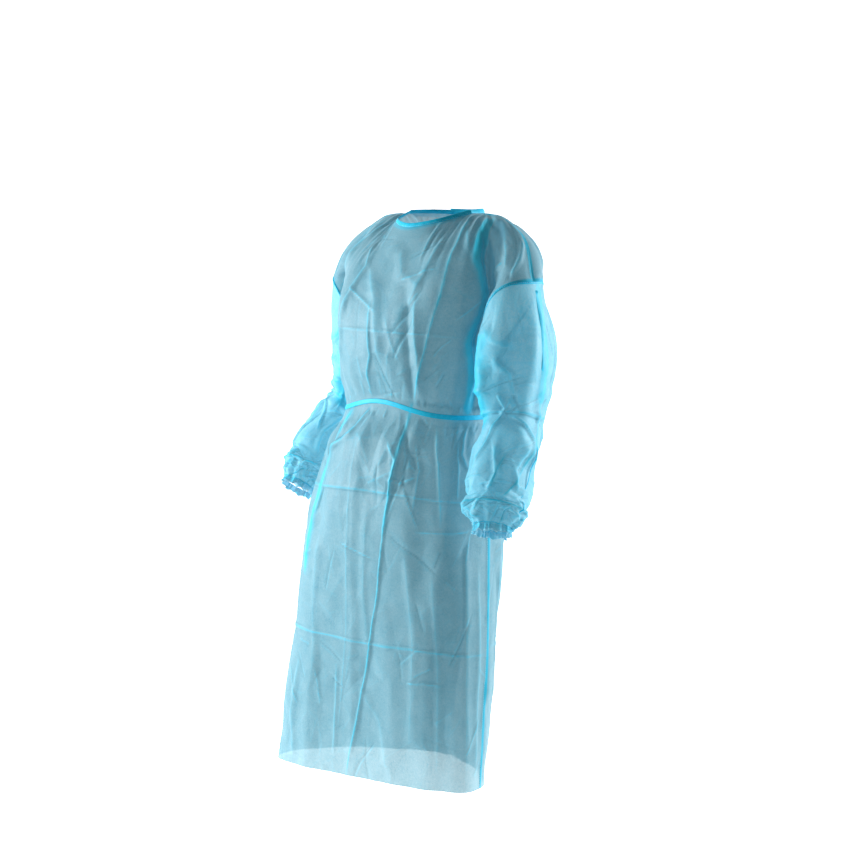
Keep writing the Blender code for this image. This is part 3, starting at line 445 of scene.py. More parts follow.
backCreases = named(creaseColumns, [
    ([(0.52, 0.02), (0.5, 0.2), (0.48, 0.366)], 0.0045, 0.0028, 0.8, 0, 0.6),
    ([(0.49, 0.4), (0.51, 0.7), (0.5, 1.08)], 0.0048, 0.003, 0.8, 0.5, 0.7),
    ([(-0.51, 0.02), (-0.5, 0.2), (-0.49, 0.366)], 0.0045, 0.0028, 0.8, 0, 0.6),
    ([(-0.49, 0.4), (-0.5, 0.7), (-0.52, 1.08)], 0.0048, 0.003, 0.8, 0.5, 0.7),
    ([(-0.97, 0.232), (0.97, 0.228)], 0.0045, 0.0024, 0.8, 0, 0.5),
    ([(-0.97, 0.534), (0.97, 0.528)], 0.0048, 0.003, 0.8, 0.4, 0.7),
    ([(-0.97, 0.818), (0.97, 0.81)], 0.0048, 0.003, 0.8, -0.4, 0.8),
    ([(0.1, 0.1), (0.18, 0.22), (0.16, 0.36)], 0.012, 0.0025, 0.4, 0.5),
    ([(-0.12, 0.08), (-0.22, 0.2), (-0.2, 0.36)], 0.012, 0.0025, 0.4, -0.5),
    ([(0.3, 0.06), (0.44, 0.14), (0.6, 0.16)], 0.01, 0.0045, 0.5, 0.6),
    ([(-0.28, 0.07), (-0.42, 0.16), (-0.58, 0.19)], 0.01, 0.0045, 0.5, 0.6),
    ([(0.6, 0.2), (0.56, 0.28), (0.6, 0.365)], 0.01, 0.0025, 0.5, 0.6),
    ([(-0.62, 0.18), (-0.55, 0.27), (-0.58, 0.365)], 0.01, 0.0025, 0.5, -0.6),
    ([(0.7, 0.01), (0.8, 0.06), (0.9, 0.085)], 0.009, 0.004, 0.5, 0.6),
    ([(-0.7, 0.01), (-0.78, 0.06), (-0.9, 0.095)], 0.009, 0.004, 0.5, 0.6),
    ([(0.2, 0.4), (0.26, 0.5), (0.22, 0.64)], 0.01, 0.0025, 0.5, 0.6),
    ([(-0.22, 0.4), (-0.3, 0.52), (-0.26, 0.68)], 0.01, 0.0025, 0.5, -0.6),
    ([(0.62, 0.4), (0.66, 0.56), (0.64, 0.74)], 0.011, 0.0025, 0.4, 0.5),
    ([(-0.64, 0.4), (-0.7, 0.58), (-0.66, 0.78)], 0.011, 0.0025, 0.4, -0.5),
    ([(0.34, 0.8), (0.38, 0.94), (0.36, 1.07)], 0.012, 0.0025, 0.4, 0.5),
    ([(-0.36, 0.84), (-0.4, 0.96), (-0.38, 1.07)], 0.012, 0.0025, 0.4, 0.5),
    ([(0.84, 0.62), (0.86, 0.84), (0.84, 1.06)], 0.01, 0.0022, 0.4, -0.5),
    ([(-0.84, 0.6), (-0.86, 0.82), (-0.86, 1.06)], 0.01, 0.0022, 0.4, 0.5),
])
sleeveCreases = named(creaseColumns, [
    ([(-0.33, 0.55), (-0.34, 1.6), (-0.335, 2.5), (-0.35, 3.3)], 0.01, 0.003, 0.4, 0, 2.2, 0.03),
    ([(0.035, 0.05), (0.04, 1.2), (0.035, 2.3)], 0.008, 0.002, 0.4, 0, 3.2, 0.008),
    ([(0.035, 2.2), (0.02, 3.4), (-0.03, 4.6), (-0.1, 6.4)], 0.006, 0.002, 0.5, 0, 1.2, 0.003),
    ([(-0.42, 2.72), (-0.31, 2.85), (-0.13, 2.75), (0.12, 2.7)], 0.005, 0.0034, 0.8, 0.5, 0.75),
    ([(-0.125, 2.35), (-0.23, 3.65), (-0.333, 4.75)], 0.005, 0.0036, 0.7, 0.5, 0.7),
    ([(-0.19, 2.2), (-0.16, 2.6), (-0.19, 2.95)], 0.006, 0.0045, 0.6, 0.6),
    ([(-0.12, 2.15), (-0.1, 2.5), (-0.13, 2.9)], 0.006, -0.0045, 0.6, 0.6),
    ([(-0.135, 2.85), (-0.07, 3.2), (0.01, 3.6)], 0.0065, 0.0048, 0.6, 0.7, 0.5),
    ([(-0.3, 0.55), (-0.22, 0.8), (-0.1, 0.95)], 0.0075, 0.003, 0.5, 0.6),
    ([(-0.22, 1.1), (-0.13, 1.55), (-0.11, 2.2)], 0.008, 0.004, 0.5, -0.6),
    ([(0.16, 0.12), (0.18, 1.2), (0.12, 2.3)], 0.0085, 0.0045, 0.4, 0.5),
    ([(0.32, 0.3), (0.3, 1.4), (0.36, 2.2)], 0.0085, 0.0045, 0.4, 0.5),
    ([(0.1, 2.9), (0.2, 3.5), (0.16, 4.6)], 0.0075, 0.0045, 0.5, 0.6),
    ([(-0.02, 3.7), (-0.06, 4.6), (-0.02, 5.6)], 0.0075, 0.0045, 0.5, -0.6),
    ([(-0.2, 4.0), (-0.16, 5.0), (-0.2, 6.0)], 0.0075, 0.0045, 0.5, 0.6),
    ([(-0.4, 3.4), (-0.36, 4.6), (-0.4, 5.8)], 0.0075, 0.0045, 0.5, 0.5),
    ([(0.34, 3.0), (0.3, 4.2), (0.32, 5.6)], 0.0075, 0.0045, 0.5, -0.5),
    ([(-0.46, 1.6), (-0.36, 2.1), (-0.22, 2.2)], 0.008, 0.0045, 0.5, 0.6),
    ([(-0.42, 6.9), (-0.2, 7.1), (0.1, 7.05), (0.44, 7.0)], 0.0055, 0.0036, 0.7, 0, 1.6, 0.0038),
])
# Half width of the deeper line that a hard packing crease leaves, where its row doesn't say
markWide = 0.0024
# How a crease is shaped, in its half widths: how far it counts, how fast its tip and its trough fall
# off, and the share of its length over which its ends fade
creaseShape = dict(reach=4, tip=1.5, lean=1.3, ends=0.22, markEnds=0.06)
# Small creases strewn over the pieces: how many of them, and between which sizes
strewn = dict(panel=90, sleeve=60, wrist=34, wide=(0.0035, 0.0060), out=(0.0006, 0.0018),
              length=(0.03, 0.14))
# Those near the wrist stand out more, and every other one is marked
wristCrumple = dict(out=2.4, marks=(0.2, 0.9), broad=0.0030)
# Gathers where the neck binding and the belt draw the cloth in, each a short crease of its own
neckGathers = dict(count=13, first=0.19, last=0.66, length=(0.030, 0.110), out=(0.0008, 0.0022),
                   wide=0.0045)
beltGathers = dict(count=22, reach=0.98, length=(0.014, 0.060), out=(0.0005, 0.0016), wide=0.0050)
wristWaves = dict(count=20.4, out=0.0009, start=5.6, reach=2.6)

# Flat facets that crumpled cloth breaks into: how far apart their corners are across and down, how
# far these stand out, and where along the piece they stand out more, as (middle, reach, extra)
facetColumns = ["spacing", "out", "more", "seed"]
frontFacets = named(facetColumns, [
    ((0.052, 0.08), 0.0017, (0.46, 0.07, 0.0014), 51),
    ((0.024, 0.032), 0.0006, (0.45, 0.06, 0.001), 52),
])
backFacets = named(facetColumns, [
    ((0.052, 0.08), 0.0018, (0.46, 0.08, 0.0014), 61),
    ((0.024, 0.032), 0.0006, (0.45, 0.07, 0.001), 62),
])
sleeveFacets = named(facetColumns, [
    ((0.05, 0.058), 0.0034, (0.17, 0.05, 0.0016), 71),
    ((0.022, 0.024), 0.001, (0.43, 0.07, 0.0034), 72),
])


def facetHeight(facets, across, down, seedShift=0):
    # height of the facets at each crossing of across and down, both in metres
    height = np.zeros((len(down), len(across)))
    for facet in facets:
        rng = np.random.default_rng(facet["seed"] + seedShift)
        wide, tall = facet["spacing"]
        x, y = np.meshgrid(np.arange(across[0] - wide, across[-1] + 2 * wide, wide),
                           np.arange(down[0] - tall, down[-1] + 2 * tall, tall))
        x = x + rng.uniform(-0.45, 0.45, x.shape) * wide
        y = y + rng.uniform(-0.45, 0.45, y.shape) * tall
        middle, reach, extra = facet["more"]
        out = facet["out"] + extra * np.exp(-(((y - middle) / reach) ** 2))
        lift = rng.normal(0, 1, x.shape).clip(-2, 2) * out
        corners = [Vector(point) for point in zip(x.ravel(), y.ravel())]
        made = delaunay_2d_cdt(corners, [], [], 0, 1e-6)
        points = np.array([tuple(point) for point in made[0]])
        rises = lift.ravel()[[origin[0] for origin in made[3]]]
        for triangle in made[2]:
            (ax, ay), (bx, by), (cx, cy) = points[list(triangle)]
            columns = slice(*np.searchsorted(across, [min(ax, bx, cx), max(ax, bx, cx)]))
            rows = slice(*np.searchsorted(down, [min(ay, by, cy), max(ay, by, cy)]))
            if columns.start == columns.stop or rows.start == rows.stop:
                continue
            gx, gy = np.meshgrid(across[columns], down[rows])
            area = (bx - ax) * (cy - ay) - (cx - ax) * (by - ay)
            second = ((gx - ax) * (cy - ay) - (cx - ax) * (gy - ay)) / area
            third = ((bx - ax) * (gy - ay) - (gx - ax) * (by - ay)) / area
            inside = (second >= 0) & (third >= 0) & (second + third <= 1)
            a, b, c = rises[list(triangle)]
            height[rows, columns][inside] += (a + (b - a) * second + (c - a) * third)[inside]
    return height


def alongLine(line, x, y, stretch):
    # distance to a broken line, which side of it, and how far along as a share of it
    points = np.array(line, float) * stretch
    lengths = np.hypot(*np.diff(points, axis=0).T)
    total = lengths.sum()
    best = np.full(x.shape, 1e9)
    side = np.zeros_like(best)
    share = np.zeros_like(best)
    done = 0.0
    for start, end, length in zip(points, points[1:], lengths):
        run = (end - start) / length
        along = (x - start[0]) * run[0] + (y - start[1]) * run[1]
        across = (x - start[0]) * run[1] - (y - start[1]) * run[0]
        gap = np.hypot(across, along - np.clip(along, 0, length))
        near = gap < best
        best = np.where(near, gap, best)
        side = np.where(near, np.sign(across), side)
        share = np.where(near, (done + along) / total, share)
        done += length
    return best, side, share


def creaseHeight(creases, x, y, stretch):
    # the creases added up, each read only near its own line
    height = np.zeros_like(x)
    for crease in creases:
        points = np.array(crease["line"], float) * stretch
        reach = crease["wide"] * creaseShape["reach"]
        low, high = points.min(0) - reach, points.max(0) + reach
        near = (x > low[0]) & (x < high[0]) & (y > low[1]) & (y < high[1])
        if not near.any():
            continue
        gap, side, share = alongLine(crease["line"], x[near], y[near], stretch)
        t = gap / crease["wide"]
        soft = np.exp(-t * t)
        crisp = crease["crisp"]
        shape = soft * (1 - crisp) + np.exp(-creaseShape["tip"] * t) * crisp * soft**0.3
        shape = shape + crease.get("lean", 0) * creaseShape["lean"] * side * t * soft
        ends = np.clip(np.minimum(share, 1 - share) / creaseShape["ends"] + 0.15, 0, 1)
        height[near] += crease["out"] * shape * ends * ends * (3 - 2 * ends)
    return height


def creaseMarks(creases, x, y, stretch):
    # how strongly a hard crease's line shows as deeper colour. Below zero it is painted shade, and on the
    # broad bands along fold edges it is partly painted light
    marks = np.zeros_like(x)
    for crease in creases:
        if "mark" not in crease:
            continue
        gap, side, share = alongLine(crease["line"], x, y, stretch)
        along = share + crease["mark"] * 4
        uneven = 0.55 + 0.30 * np.sin(along * 23) * np.sin(along * 7.3) + 0.15 * np.sin(along * 61)
        uneven = uneven.clip(0.1, 1)
        if "broad" in crease:
            uneven = 0.5 + uneven * 0.5
        ends = np.clip(np.minimum(share, 1 - share) / creaseShape["markEnds"] + 0.4, 0, 1)
        mark = crease["mark"] * uneven * ends * np.exp(-((gap / crease.get("broad", markWide)) ** 2))
        marks = np.where(np.abs(mark) > np.abs(marks), mark, marks)
    return marks


def strewnCreases(count, seed, low, high, stretch):
    # small creases in any direction, bent once, none like the next
    rng = np.random.default_rng(seed)
    rows = []
    for _ in range(count):
        start = rng.uniform(low, high)
        angle = rng.normal(0, 1.0) + math.pi / 2
        length = rng.uniform(*strewn["length"])
        middle = start + np.array([math.cos(angle), math.sin(angle)]) * length / 2 / stretch
        angle += rng.normal(0, 0.12)
        end = middle + np.array([math.cos(angle), math.sin(angle)]) * length / 2 / stretch
        rows.append(dict(line=[start, middle, end], wide=rng.uniform(*strewn["wide"]),
                         out=rng.choice([-1, 1]) * rng.uniform(*strewn["out"]),
                         crisp=rng.uniform(0.6, 1.0), lean=rng.uniform(-0.6, 0.6)))
    return rows


def neckGatherLines(seed):
    rng = np.random.default_rng(seed)
    rows = []
    for side in (-1, 1):
        for share in np.linspace(neckGathers["first"], neckGathers["last"], neckGathers["count"]):
            share = share + rng.uniform(-0.012, 0.012)
            length = rng.uniform(*neckGathers["length"])
            fan = (share - 0.20) * 0.9 * length / 0.1 + rng.uniform(-0.03, 0.03)
            line = [(side * share, -0.01), (side * (share + fan), length)]
            rows.append(dict(line=line, wide=neckGathers["wide"], crisp=0.5,
                             out=rng.choice([-1, 1]) * rng.uniform(*neckGathers["out"])))
    return rows


def beltGatherLines(seed):
    rng = np.random.default_rng(seed)
    rows = []
    reach = beltGathers["reach"]
    for above in (-1, 1):
        for share in np.linspace(-reach, reach, int(beltGathers["count"] * reach)):
            share = share + rng.uniform(-0.02, 0.02)
            length = rng.uniform(*beltGathers["length"])
            start = beltDrop + above * 0.001
            line = [(share, start), (share + rng.uniform(-0.05, 0.05), start + above * length)]
            rows.append(dict(line=line, wide=beltGathers["wide"], crisp=0.45,
                             out=rng.choice([-1, 1]) * rng.uniform(*beltGathers["out"]),
                             lean=rng.uniform(-0.5, 0.5)))
    return rows


def panelLines(creases, seed):
    # all the creases of a panel, each kind from a seed of its own
    return (creases + neckGatherLines(seed) + beltGatherLines(seed + 1)
            + strewnCreases(strewn["panel"], seed + 2, (-1.0, 0.0), (1.0, 1.08), panelStretch))


# How far from the seams, the top edge and the flat strip at the belt the creases have risen
creaseFade = dict(seam=0.030, top=0.010, flat=0.006, belt=0.012)
# Metres for each share across and each metre down
panelStretch = np.array([halfFront, 1.0])
frontLines = panelLines(frontCreases, 11)
backLines = panelLines(backCreases, 21)


def panelCloth(shares, drops, front, side=1):
    # fine cloth of a panel: its points, and its fold height for the painted light and shade on its creases
    shares = np.asarray(shares, float)
    drops = np.asarray(drops, float)
    grid = panelGrid(shares, drops, front)
    out = -1 if front else 1
    if not front:
        # the left back lies over the right one, and they meet again past the lap
        lift = side * backApart * np.clip(1.6 - np.abs(shares) * halfFront / overlap / 1.6, 0, 1)
        grid = grid + gridNormals(grid) * lift[None, :, None]
    share, drop = np.meshgrid(shares, drops)
    lines = frontLines if front else backLines
    height = creaseHeight(lines, share * halfFront, drop, panelStretch)
    height += facetHeight(frontFacets if front else backFacets, shares * halfFront, drops)
    seam = ramp(1 - np.abs(share), creaseFade["seam"]) * ramp(drop, creaseFade["top"])
    height = height * seam * ramp(np.abs(drop - beltDrop) - creaseFade["flat"], creaseFade["belt"])
    line = creaseMarks(lines, share * halfFront, drop, panelStretch)
    return grid + out * gridNormals(grid) * (height - inset)[..., None], height, line


# Metres round a sleeve, and down it at each station
sleeveRound = 0.40
lastStation = 9
sleeveLengths = np.array([0, 0.097, 0.165, 0.232, 0.298, 0.356, 0.384, 0.400, 0.421, 0.432])
sleeveStretch = np.array([sleeveRound, 0.06])
sleeveSeeds = {1: dict(creases=31, facets=0), -1: dict(creases=41, facets=7)}


def sleeveCloth(stations, side, turns, places):
    grid = sleeveGrid(stations, side, turns, places)
    turn, place = np.meshgrid(turns, places)
    # fine cloth of a sleeve, as panelCloth gives it
    seed = sleeveSeeds[side]["creases"]
    lines = sleeveCreases + strewnCreases(strewn["sleeve"], seed, (-0.5, 0.2), (0.5, 7.5), sleeveStretch)
    crumples = strewnCreases(strewn["wrist"], seed + 4, (-0.5, 5.6), (0.5, 8.2), sleeveStretch)
    for number, crease in enumerate(crumples):
        crease.update(out=crease["out"] * wristCrumple["out"], mark=wristCrumple["marks"][number % 2],
                      broad=wristCrumple["broad"])
    lines = lines + crumples
    height = np.zeros_like(turn)
    line = np.zeros_like(turn)
    for lap in (-1, 0, 1):
        around = (turn + lap) * sleeveRound
        height += creaseHeight(lines, around, place * sleeveStretch[1], sleeveStretch)
        mark = creaseMarks(lines, around, place * sleeveStretch[1], sleeveStretch)
        line = np.where(np.abs(mark) > np.abs(line), mark, line)
    facets = facetHeight(sleeveFacets, turns * sleeveRound, places * sleeveStretch[1],
                         seedShift=sleeveSeeds[side]["facets"])
    height += facets * ramp(0.5 - np.abs(turn), 0.04)
    height = height * ramp(place, 0.35) * ramp(lastStation - place, 0.8)
    gather = ramp(place - wristWaves["start"], wristWaves["reach"]) ** 1.5
    around = turn * 2 * math.pi
    sway = 2.2 * np.sin(around * 3 + 0.7) + 1.1 * np.sin(around * 7 + place * 1.7)
    waves = np.cos(around * wristWaves["count"] + sway) * (0.55 + 0.6 * np.sin(around * 4 + place * 2.1))
    height = height + wristWaves["out"] * gather * waves
    return grid - side * gridNormals(grid, closed=True) * (height - inset)[..., None], height, line


def linked(name, data):
    made = bpy.data.objects.new(name, data)
    bpy.context.collection.objects.link(made)
    return made


def standPiece(name, mesh, material):
    mesh.shade_smooth()
    mesh.materials.append(material)
    piece = linked(name, mesh)
    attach(piece, "root")
    return piece


def sewPiece(replaced):
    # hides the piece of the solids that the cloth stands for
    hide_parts(replaced)


def clothPiece(name, grid, cut, marks, material, out=1, closed=False):
    # a sheet through the grid's points, with its flat place as UV and its folds as attributes
    rows, columns = grid.shape[:2]
    span = columns if closed else columns - 1
    row, column = np.meshgrid(np.arange(rows - 1), np.arange(span), indexing="ij")
    beside = (column + 1) % columns
    quads = np.stack([row * columns + column, (row + 1) * columns + column,
                      (row + 1) * columns + beside, row * columns + beside], -1).reshape(-1, 4)
    if out < 0:
        quads = quads[:, ::-1]
    mesh = bpy.data.meshes.new(name)
    mesh.from_pydata(grid.reshape(-1, 3).tolist(), [], quads.tolist())
    flat = mesh.uv_layers.new(name="cut")
    corners = quads.reshape(-1)
    places = cut.reshape(-1, 2)[corners].copy()
    if closed:
        # the last column's faces run on past the seam instead of back to the start
        faceOf = np.repeat(np.arange(len(quads)), 4)
        last = (column.reshape(-1) == columns - 1)[faceOf] & (corners % columns == 0)
        places[last, 0] += (cut[0, -1, 0] - cut[0, 0, 0]) * columns / (columns - 1)
    flat.data.foreach_set("uv", places.reshape(-1).astype(np.float32))
    for title, values in marks.items():
        layer = mesh.attributes.new(title, "FLOAT", "POINT")
        layer.data.foreach_set("value", np.clip(values, -1, 1).reshape(-1).astype(np.float32))
    mesh.update()
    return standPiece(name, mesh, material)


def creaseEdges(height, across, down):
    # how sharply the cloth bends at each point: ridges above zero, troughs below. The cloth's colours use
    # it to paint light on the ridges and shade in the troughs
    bent = np.zeros_like(height)
    bent[:, 1:-1] += (height[:, :-2] + height[:, 2:] - 2 * height[:, 1:-1]) / across**2
    bent[1:-1] += (height[:-2] + height[2:] - 2 * height[1:-1]) / down**2
    return -bent / sharpBend


# The bend, per metre, that counts as a full fold
sharpBend = 260.0
frontSheet = dict(columns=231, rows=371, flat=(0.65, 1.10))
backSheet = dict(columns=131, rows=301, flat=(0.37, 1.10))
sleeveSheet = dict(columns=150, rows=160, flat=(0.44, 0.46))
titles = {1: "Left", -1: "Right"}
# Share across at which the neck's edge turns into the shoulder's
neckEnd = 0.38


def panelDoubled(share, drop):
    # how far the cloth lies double: seam allowances, the lapped shoulder and the neck's edge
    side = ramp(np.abs(share) - 0.984, 0.006)
    shoulder = ramp(0.006 - drop, 0.002) * (np.abs(share) > neckEnd)
    neck = ramp(0.010 - drop, 0.003) * (np.abs(share) <= neckEnd) * 0.6
    return np.maximum(np.maximum(side, shoulder), neck)


def flatPlace(across, down):
    # where each point of the cut lies, for the UVs
    return np.stack([across, -down], -1)


def makeFront():
    half = np.linspace(-1, 1, frontSheet["columns"])
    drops = np.linspace(0, hemDrop, frontSheet["rows"])
    grid, height, line = panelCloth(half, drops, True)
    share, drop = np.meshgrid(half, drops)
    cut = flatPlace(share * halfFront, drop)
    edges = creaseEdges(height, halfFront * 2 / frontSheet["columns"], hemDrop / frontSheet["rows"])
    marks = dict(fold=edges, doubled=panelDoubled(share, drop), line=line)
    piece = clothPiece("frontCloth", grid, cut, marks, panelClothShaded, out=-1)
    sewPiece("front_panel")


def makeBack(side):
    edge = overlap / halfFront
    shares = np.sort(np.linspace(-edge, 1, backSheet["columns"]) * side)
    drops = np.linspace(0, hemDrop, backSheet["rows"])
    grid, height, line = panelCloth(shares, drops, False, side)
    share, drop = np.meshgrid(shares, drops)
    cut = flatPlace(share * halfFront, drop)
    lap = ramp(0.012 - np.abs(share + side * edge), 0.004)
    edges = creaseEdges(height, halfFront * 1.13 / backSheet["columns"], hemDrop / backSheet["rows"])
    marks = dict(fold=edges, doubled=np.maximum(panelDoubled(share, drop), lap), line=line)
    title = titles[side]
    piece = clothPiece("back" + title + "Cloth", grid, cut, marks, panelClothShaded)
    sewPiece("back_" + title.lower() + "_panel")


def makeSleeve(stations, side):
    turns = np.arange(sleeveSheet["columns"]) / sleeveSheet["columns"] - 0.5
    # rows stand closer together towards the wrist
    places = np.linspace(0, lastStation, sleeveSheet["rows"])
    places = np.interp(places, [0, 6, lastStation], [0, 5.2, lastStation])
    grid, height, line = sleeveCloth(stations, side, turns, places)
    turn, place = np.meshgrid(turns, places)
    cut = flatPlace(turn * sleeveRound, np.interp(place, np.arange(lastStation + 1), sleeveLengths))
    doubled = np.maximum(ramp(0.05 - place, 0.02), ramp(place - lastStation + 0.15, 0.05))
    edges = creaseEdges(height, sleeveRound / sleeveSheet["columns"], 0.43 / sleeveSheet["rows"])
    marks = dict(fold=edges, doubled=doubled, line=line)
    title = titles[side]
    piece = clothPiece("sleeve" + title + "Cloth", grid, cut, marks, drapedCloth, out=-side, closed=True)
    sewPiece("sleeve_" + title.lower())


# The casing swells and narrows down its rows; squeeze is its size there, puff the gathers' depth
cuffSheet = dict(columns=300, rows=15, gathers=30, out=0.0015, flat=(0.26, 0.018), rim=0.90,
                 places=[0, 0.15, 0.3, 0.5, 0.68, 0.85, 1],
                 squeeze=[1.0, 0.975, 1.0, 0.975, 1.0, 1.02, 1.05],
                 puff=[0.4, 0.3, 1.0, 0.4, 0.8, 1.1, 1.4])


def makeCuff(stations, side):
    # gathered casing that carries on from the sleeve's last ring
    turns = np.arange(cuffSheet["columns"]) / cuffSheet["columns"] - 0.5
    ring = sleeveCloth(stations, side, turns, np.array([lastStation - 1.0, lastStation]))[0]
    along = ring[1].mean(0) - ring[0].mean(0)
    along = along / np.linalg.norm(along)
    centre = ring[1].mean(0)
    down = np.linspace(0, 1, cuffSheet["rows"])
    squeeze = np.interp(down, cuffSheet["places"], cuffSheet["squeeze"])
    puff = np.interp(down, cuffSheet["places"], cuffSheet["puff"])
    around = turns * 2 * math.pi
    sway = 1.4 * np.sin(around * 7) + 0.8 * np.sin(around * 3 + side)
    waves = np.cos(around * cuffSheet["gathers"] + sway) * (0.75 + 0.35 * np.sin(around * 5 + 1.0))
    radial = (ring[1] - centre) - ((ring[1] - centre) @ along)[:, None] * along
    outward = unit(radial) * waves[:, None] * cuffSheet["out"]
    drift = cuffDepth + 0.0016 * np.sin(around * 9 + 0.5) + 0.0010 * np.sin(around * 17)
    grid = np.array([centre + radial * close + outward * swell + along * (drift * drop)[:, None]
                     for close, swell, drop in zip(squeeze, puff, down)])
    turn, drop = np.meshgrid(turns, down)
    cut = flatPlace(turn * cuffSheet["flat"][0], drop * cuffDepth)
    waves = np.tile(waves, (len(down), 1))
    edge = ramp(drop - cuffSheet["rim"], 0.06) * (0.75 + 0.25 * waves)
    # the gathers' tops take the ridge colour and their hollows the trough colour: painted light and shade;
    # the rim's line is the white elastic
    marks = dict(fold=waves * 0.8, doubled=1 - edge, line=edge)
    title = titles[side]
    piece = clothPiece("cuff" + title + "Casing", grid, cut, marks, cuffCloth, out=-side, closed=True)
    sewPiece("cuff_" + title.lower())


# Round-edged section of a tape: share across it, and share of its thickness
tapeSection = [(0.0, 0.25), (0.03, 0.75), (0.12, 1.0), (0.5, 0.94), (0.88, 1.0), (0.97, 0.75),
               (1.0, 0.25), (0.5, 0.0)]


def lengthAlong(line):
    # how far along a line of points each of them is
    return np.concatenate([[0], np.cumsum(np.linalg.norm(np.diff(line, axis=0), axis=1))])


def tapeBetween(name, first, second, outs, replaced, lift=0.0004, thick=0.0009, closed=False, pucker=0.0):
    # a tape whose edges run along two lines of points, lifted off what it lies on
    length = lengthAlong(first)
    wave = pucker * (np.sin(length * 950) + 0.6 * np.sin(length * 410 + 1))
    grid = np.array([first + (second - first) * across + outs * (lift + (thick + wave) * height)[:, None]
                     for across, height in tapeSection])
    count, columns = grid.shape[:2]
    faces = []
    for column in range(columns if closed else columns - 1):
        beside = (column + 1) % columns
        for row in range(count):
            below = (row + 1) % count
            faces.append((row * columns + column, below * columns + column,
                          below * columns + beside, row * columns + beside))
    if not closed:
        faces.append([row * columns for row in range(count)][::-1])
        faces.append([row * columns + columns - 1 for row in range(count)])
    return tapeMesh(name, grid.reshape(-1, 3), faces, replaced)


def tapeMesh(name, points, faces, replaced=None, material=None):
    mesh = bpy.data.meshes.new(name)
    mesh.from_pydata(np.asarray(points).tolist(), [], faces)
    shape = bmesh.new()
    shape.from_mesh(mesh)
    bmesh.ops.recalc_face_normals(shape, faces=shape.faces)
    shape.to_mesh(mesh)
    shape.free()
    piece = standPiece(name, mesh, material or gownTape)
    if replaced:
        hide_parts(replaced)
    return piece


seamTape = dict(back=0.0008, ahead=0.0036, lift=0.0005, thick=0.0006, columns=132)
sleeveStrip = dict(first=0.12, last=7.6, rows=150,
                   wide=([0, 2.2, 3.5, 7.6], [0.0080, 0.0065, 0.0032, 0.0026]))


def makeArmholeSeam(stations, side):
    # lapped band round the sleeve's head
    title = titles[side]
    turns = np.arange(seamTape["columns"]) / seamTape["columns"] - 0.5
    grid = sleeveCloth(stations, side, turns, np.array([0.0, 0.06, 0.12]))[0]
    outs = -side * gridNormals(grid, closed=True)[0]
    down = unit(grid[1] - grid[0])
    first = grid[0] - down * seamTape["back"]
    second = grid[0] + down * seamTape["ahead"]
    tapeBetween("armhole" + title + "Seam", first, second, outs, "armhole_seam_" + title.lower(),
                lift=seamTape["lift"], thick=seamTape["thick"], closed=True)
    return first, second, outs


def makeSleeveSeam(stations, side):
    # lapped strip down the outside of the sleeve, narrower towards the wrist
    title = titles[side]
    places = np.linspace(sleeveStrip["first"], sleeveStrip["last"], sleeveStrip["rows"])
    grid = sleeveCloth(stations, side, np.array([0.0, 0.02, 0.04]), places)[0]
    outs = unit(-side * gridNormals(grid)[:, 1])
    wide = np.interp(places, *sleeveStrip["wide"])[:, None]
    half = unit(grid[:, 2] - grid[:, 0]) * wide / 2
    tapeBetween("sleeve" + title + "Seam", grid[:, 1] - half, grid[:, 1] + half, outs,
                "sleeve_seam_" + title.lower(), thick=seamTape["thick"])


bindingTape = dict(front=121, back=61, lean=([-1, 0, 1], [0.45, 0.9, 0.25]), pucker=0.00016,
                   rise=0.0003, lift=-0.0014, thick=0.0017)


def makeBinding():
    # tape folded over the neck edge, from the left back's free edge round to the right's
    neck = lineShare[2] + 0.001
    edge = overlap / halfFront
    rows = np.array([0, 0.02])
    left = panelCloth(np.linspace(-edge, neck, bindingTape["back"]), rows, False, 1)[0][0]
    front = panelCloth(np.linspace(-neck, neck, bindingTape["front"]), rows, True)[0][0][::-1]
    right = panelCloth(np.linspace(-neck, edge, bindingTape["back"]), rows, False, -1)[0][0]
    line = np.concatenate([left[:-1], (left[-1:] + front[:1]) / 2, front[1:-1],
                           (front[-1:] + right[:1]) / 2, right[1:]])
    outward = unit(line * [1, 1, 0])
    lean = np.interp(outward[:, 1], *bindingTape["lean"])
    up = unit(np.array([0, 0, 1]) - outward * lean[:, None])
    outs = unit(outward + lean[:, None] * np.array([0, 0, 1]))
    low = line + up * bindingTape["rise"]
    tapeBetween("neckBindingTape", low + up * tapeWidth, low, outs, "neck_binding",
                lift=bindingTape["lift"], thick=bindingTape["thick"], pucker=bindingTape["pucker"])
    return low, up, outs


beltTape = dict(end=0.006, lift=0.0006)


def beltSide(shares, front):
    # the belt's two edges across the front or the back, and which way it faces
    rows = beltDrop + tapeWidth * np.array([-1, -0.5, 0, 0.5, 1])
    grid = panelCloth(shares, rows, front, 1)[0]
    outs = (-1 if front else 1) * gridNormals(grid)[2]
    return grid[1], grid[3], outs


def makeBelt():
    # belt from one side of the knot at the back, round the front, to the knot's other side
    backShares = np.concatenate([[beltTape["end"]], np.linspace(0.02, 1, 90)])
    right = beltSide(-backShares[::-1], False)
    front = beltSide(np.linspace(-1, 1, 181), True)
    left = beltSide(backShares, False)
    joined = [np.concatenate([r[:0:-1], f, l[-2::-1]]) for r, f, l in zip(right, front, left)]
    tapeBetween("waistBeltTape", *joined[:2], unit(joined[2]), "waist_belt", lift=beltTape["lift"])


knotTape = dict(turns=72, around=10, thick=0.17, nape=(0.013, 0.009, 0.011), belt=(0.017, 0.013, 0.015),
                napeOff=(0.010, 0.0042, 0.002), beltOff=0.0084)
tails = dict(nape=0.085, belt=0.25, uneven=0.02, apart=0.1, turn=0.30, thick=0.0008, points=40)


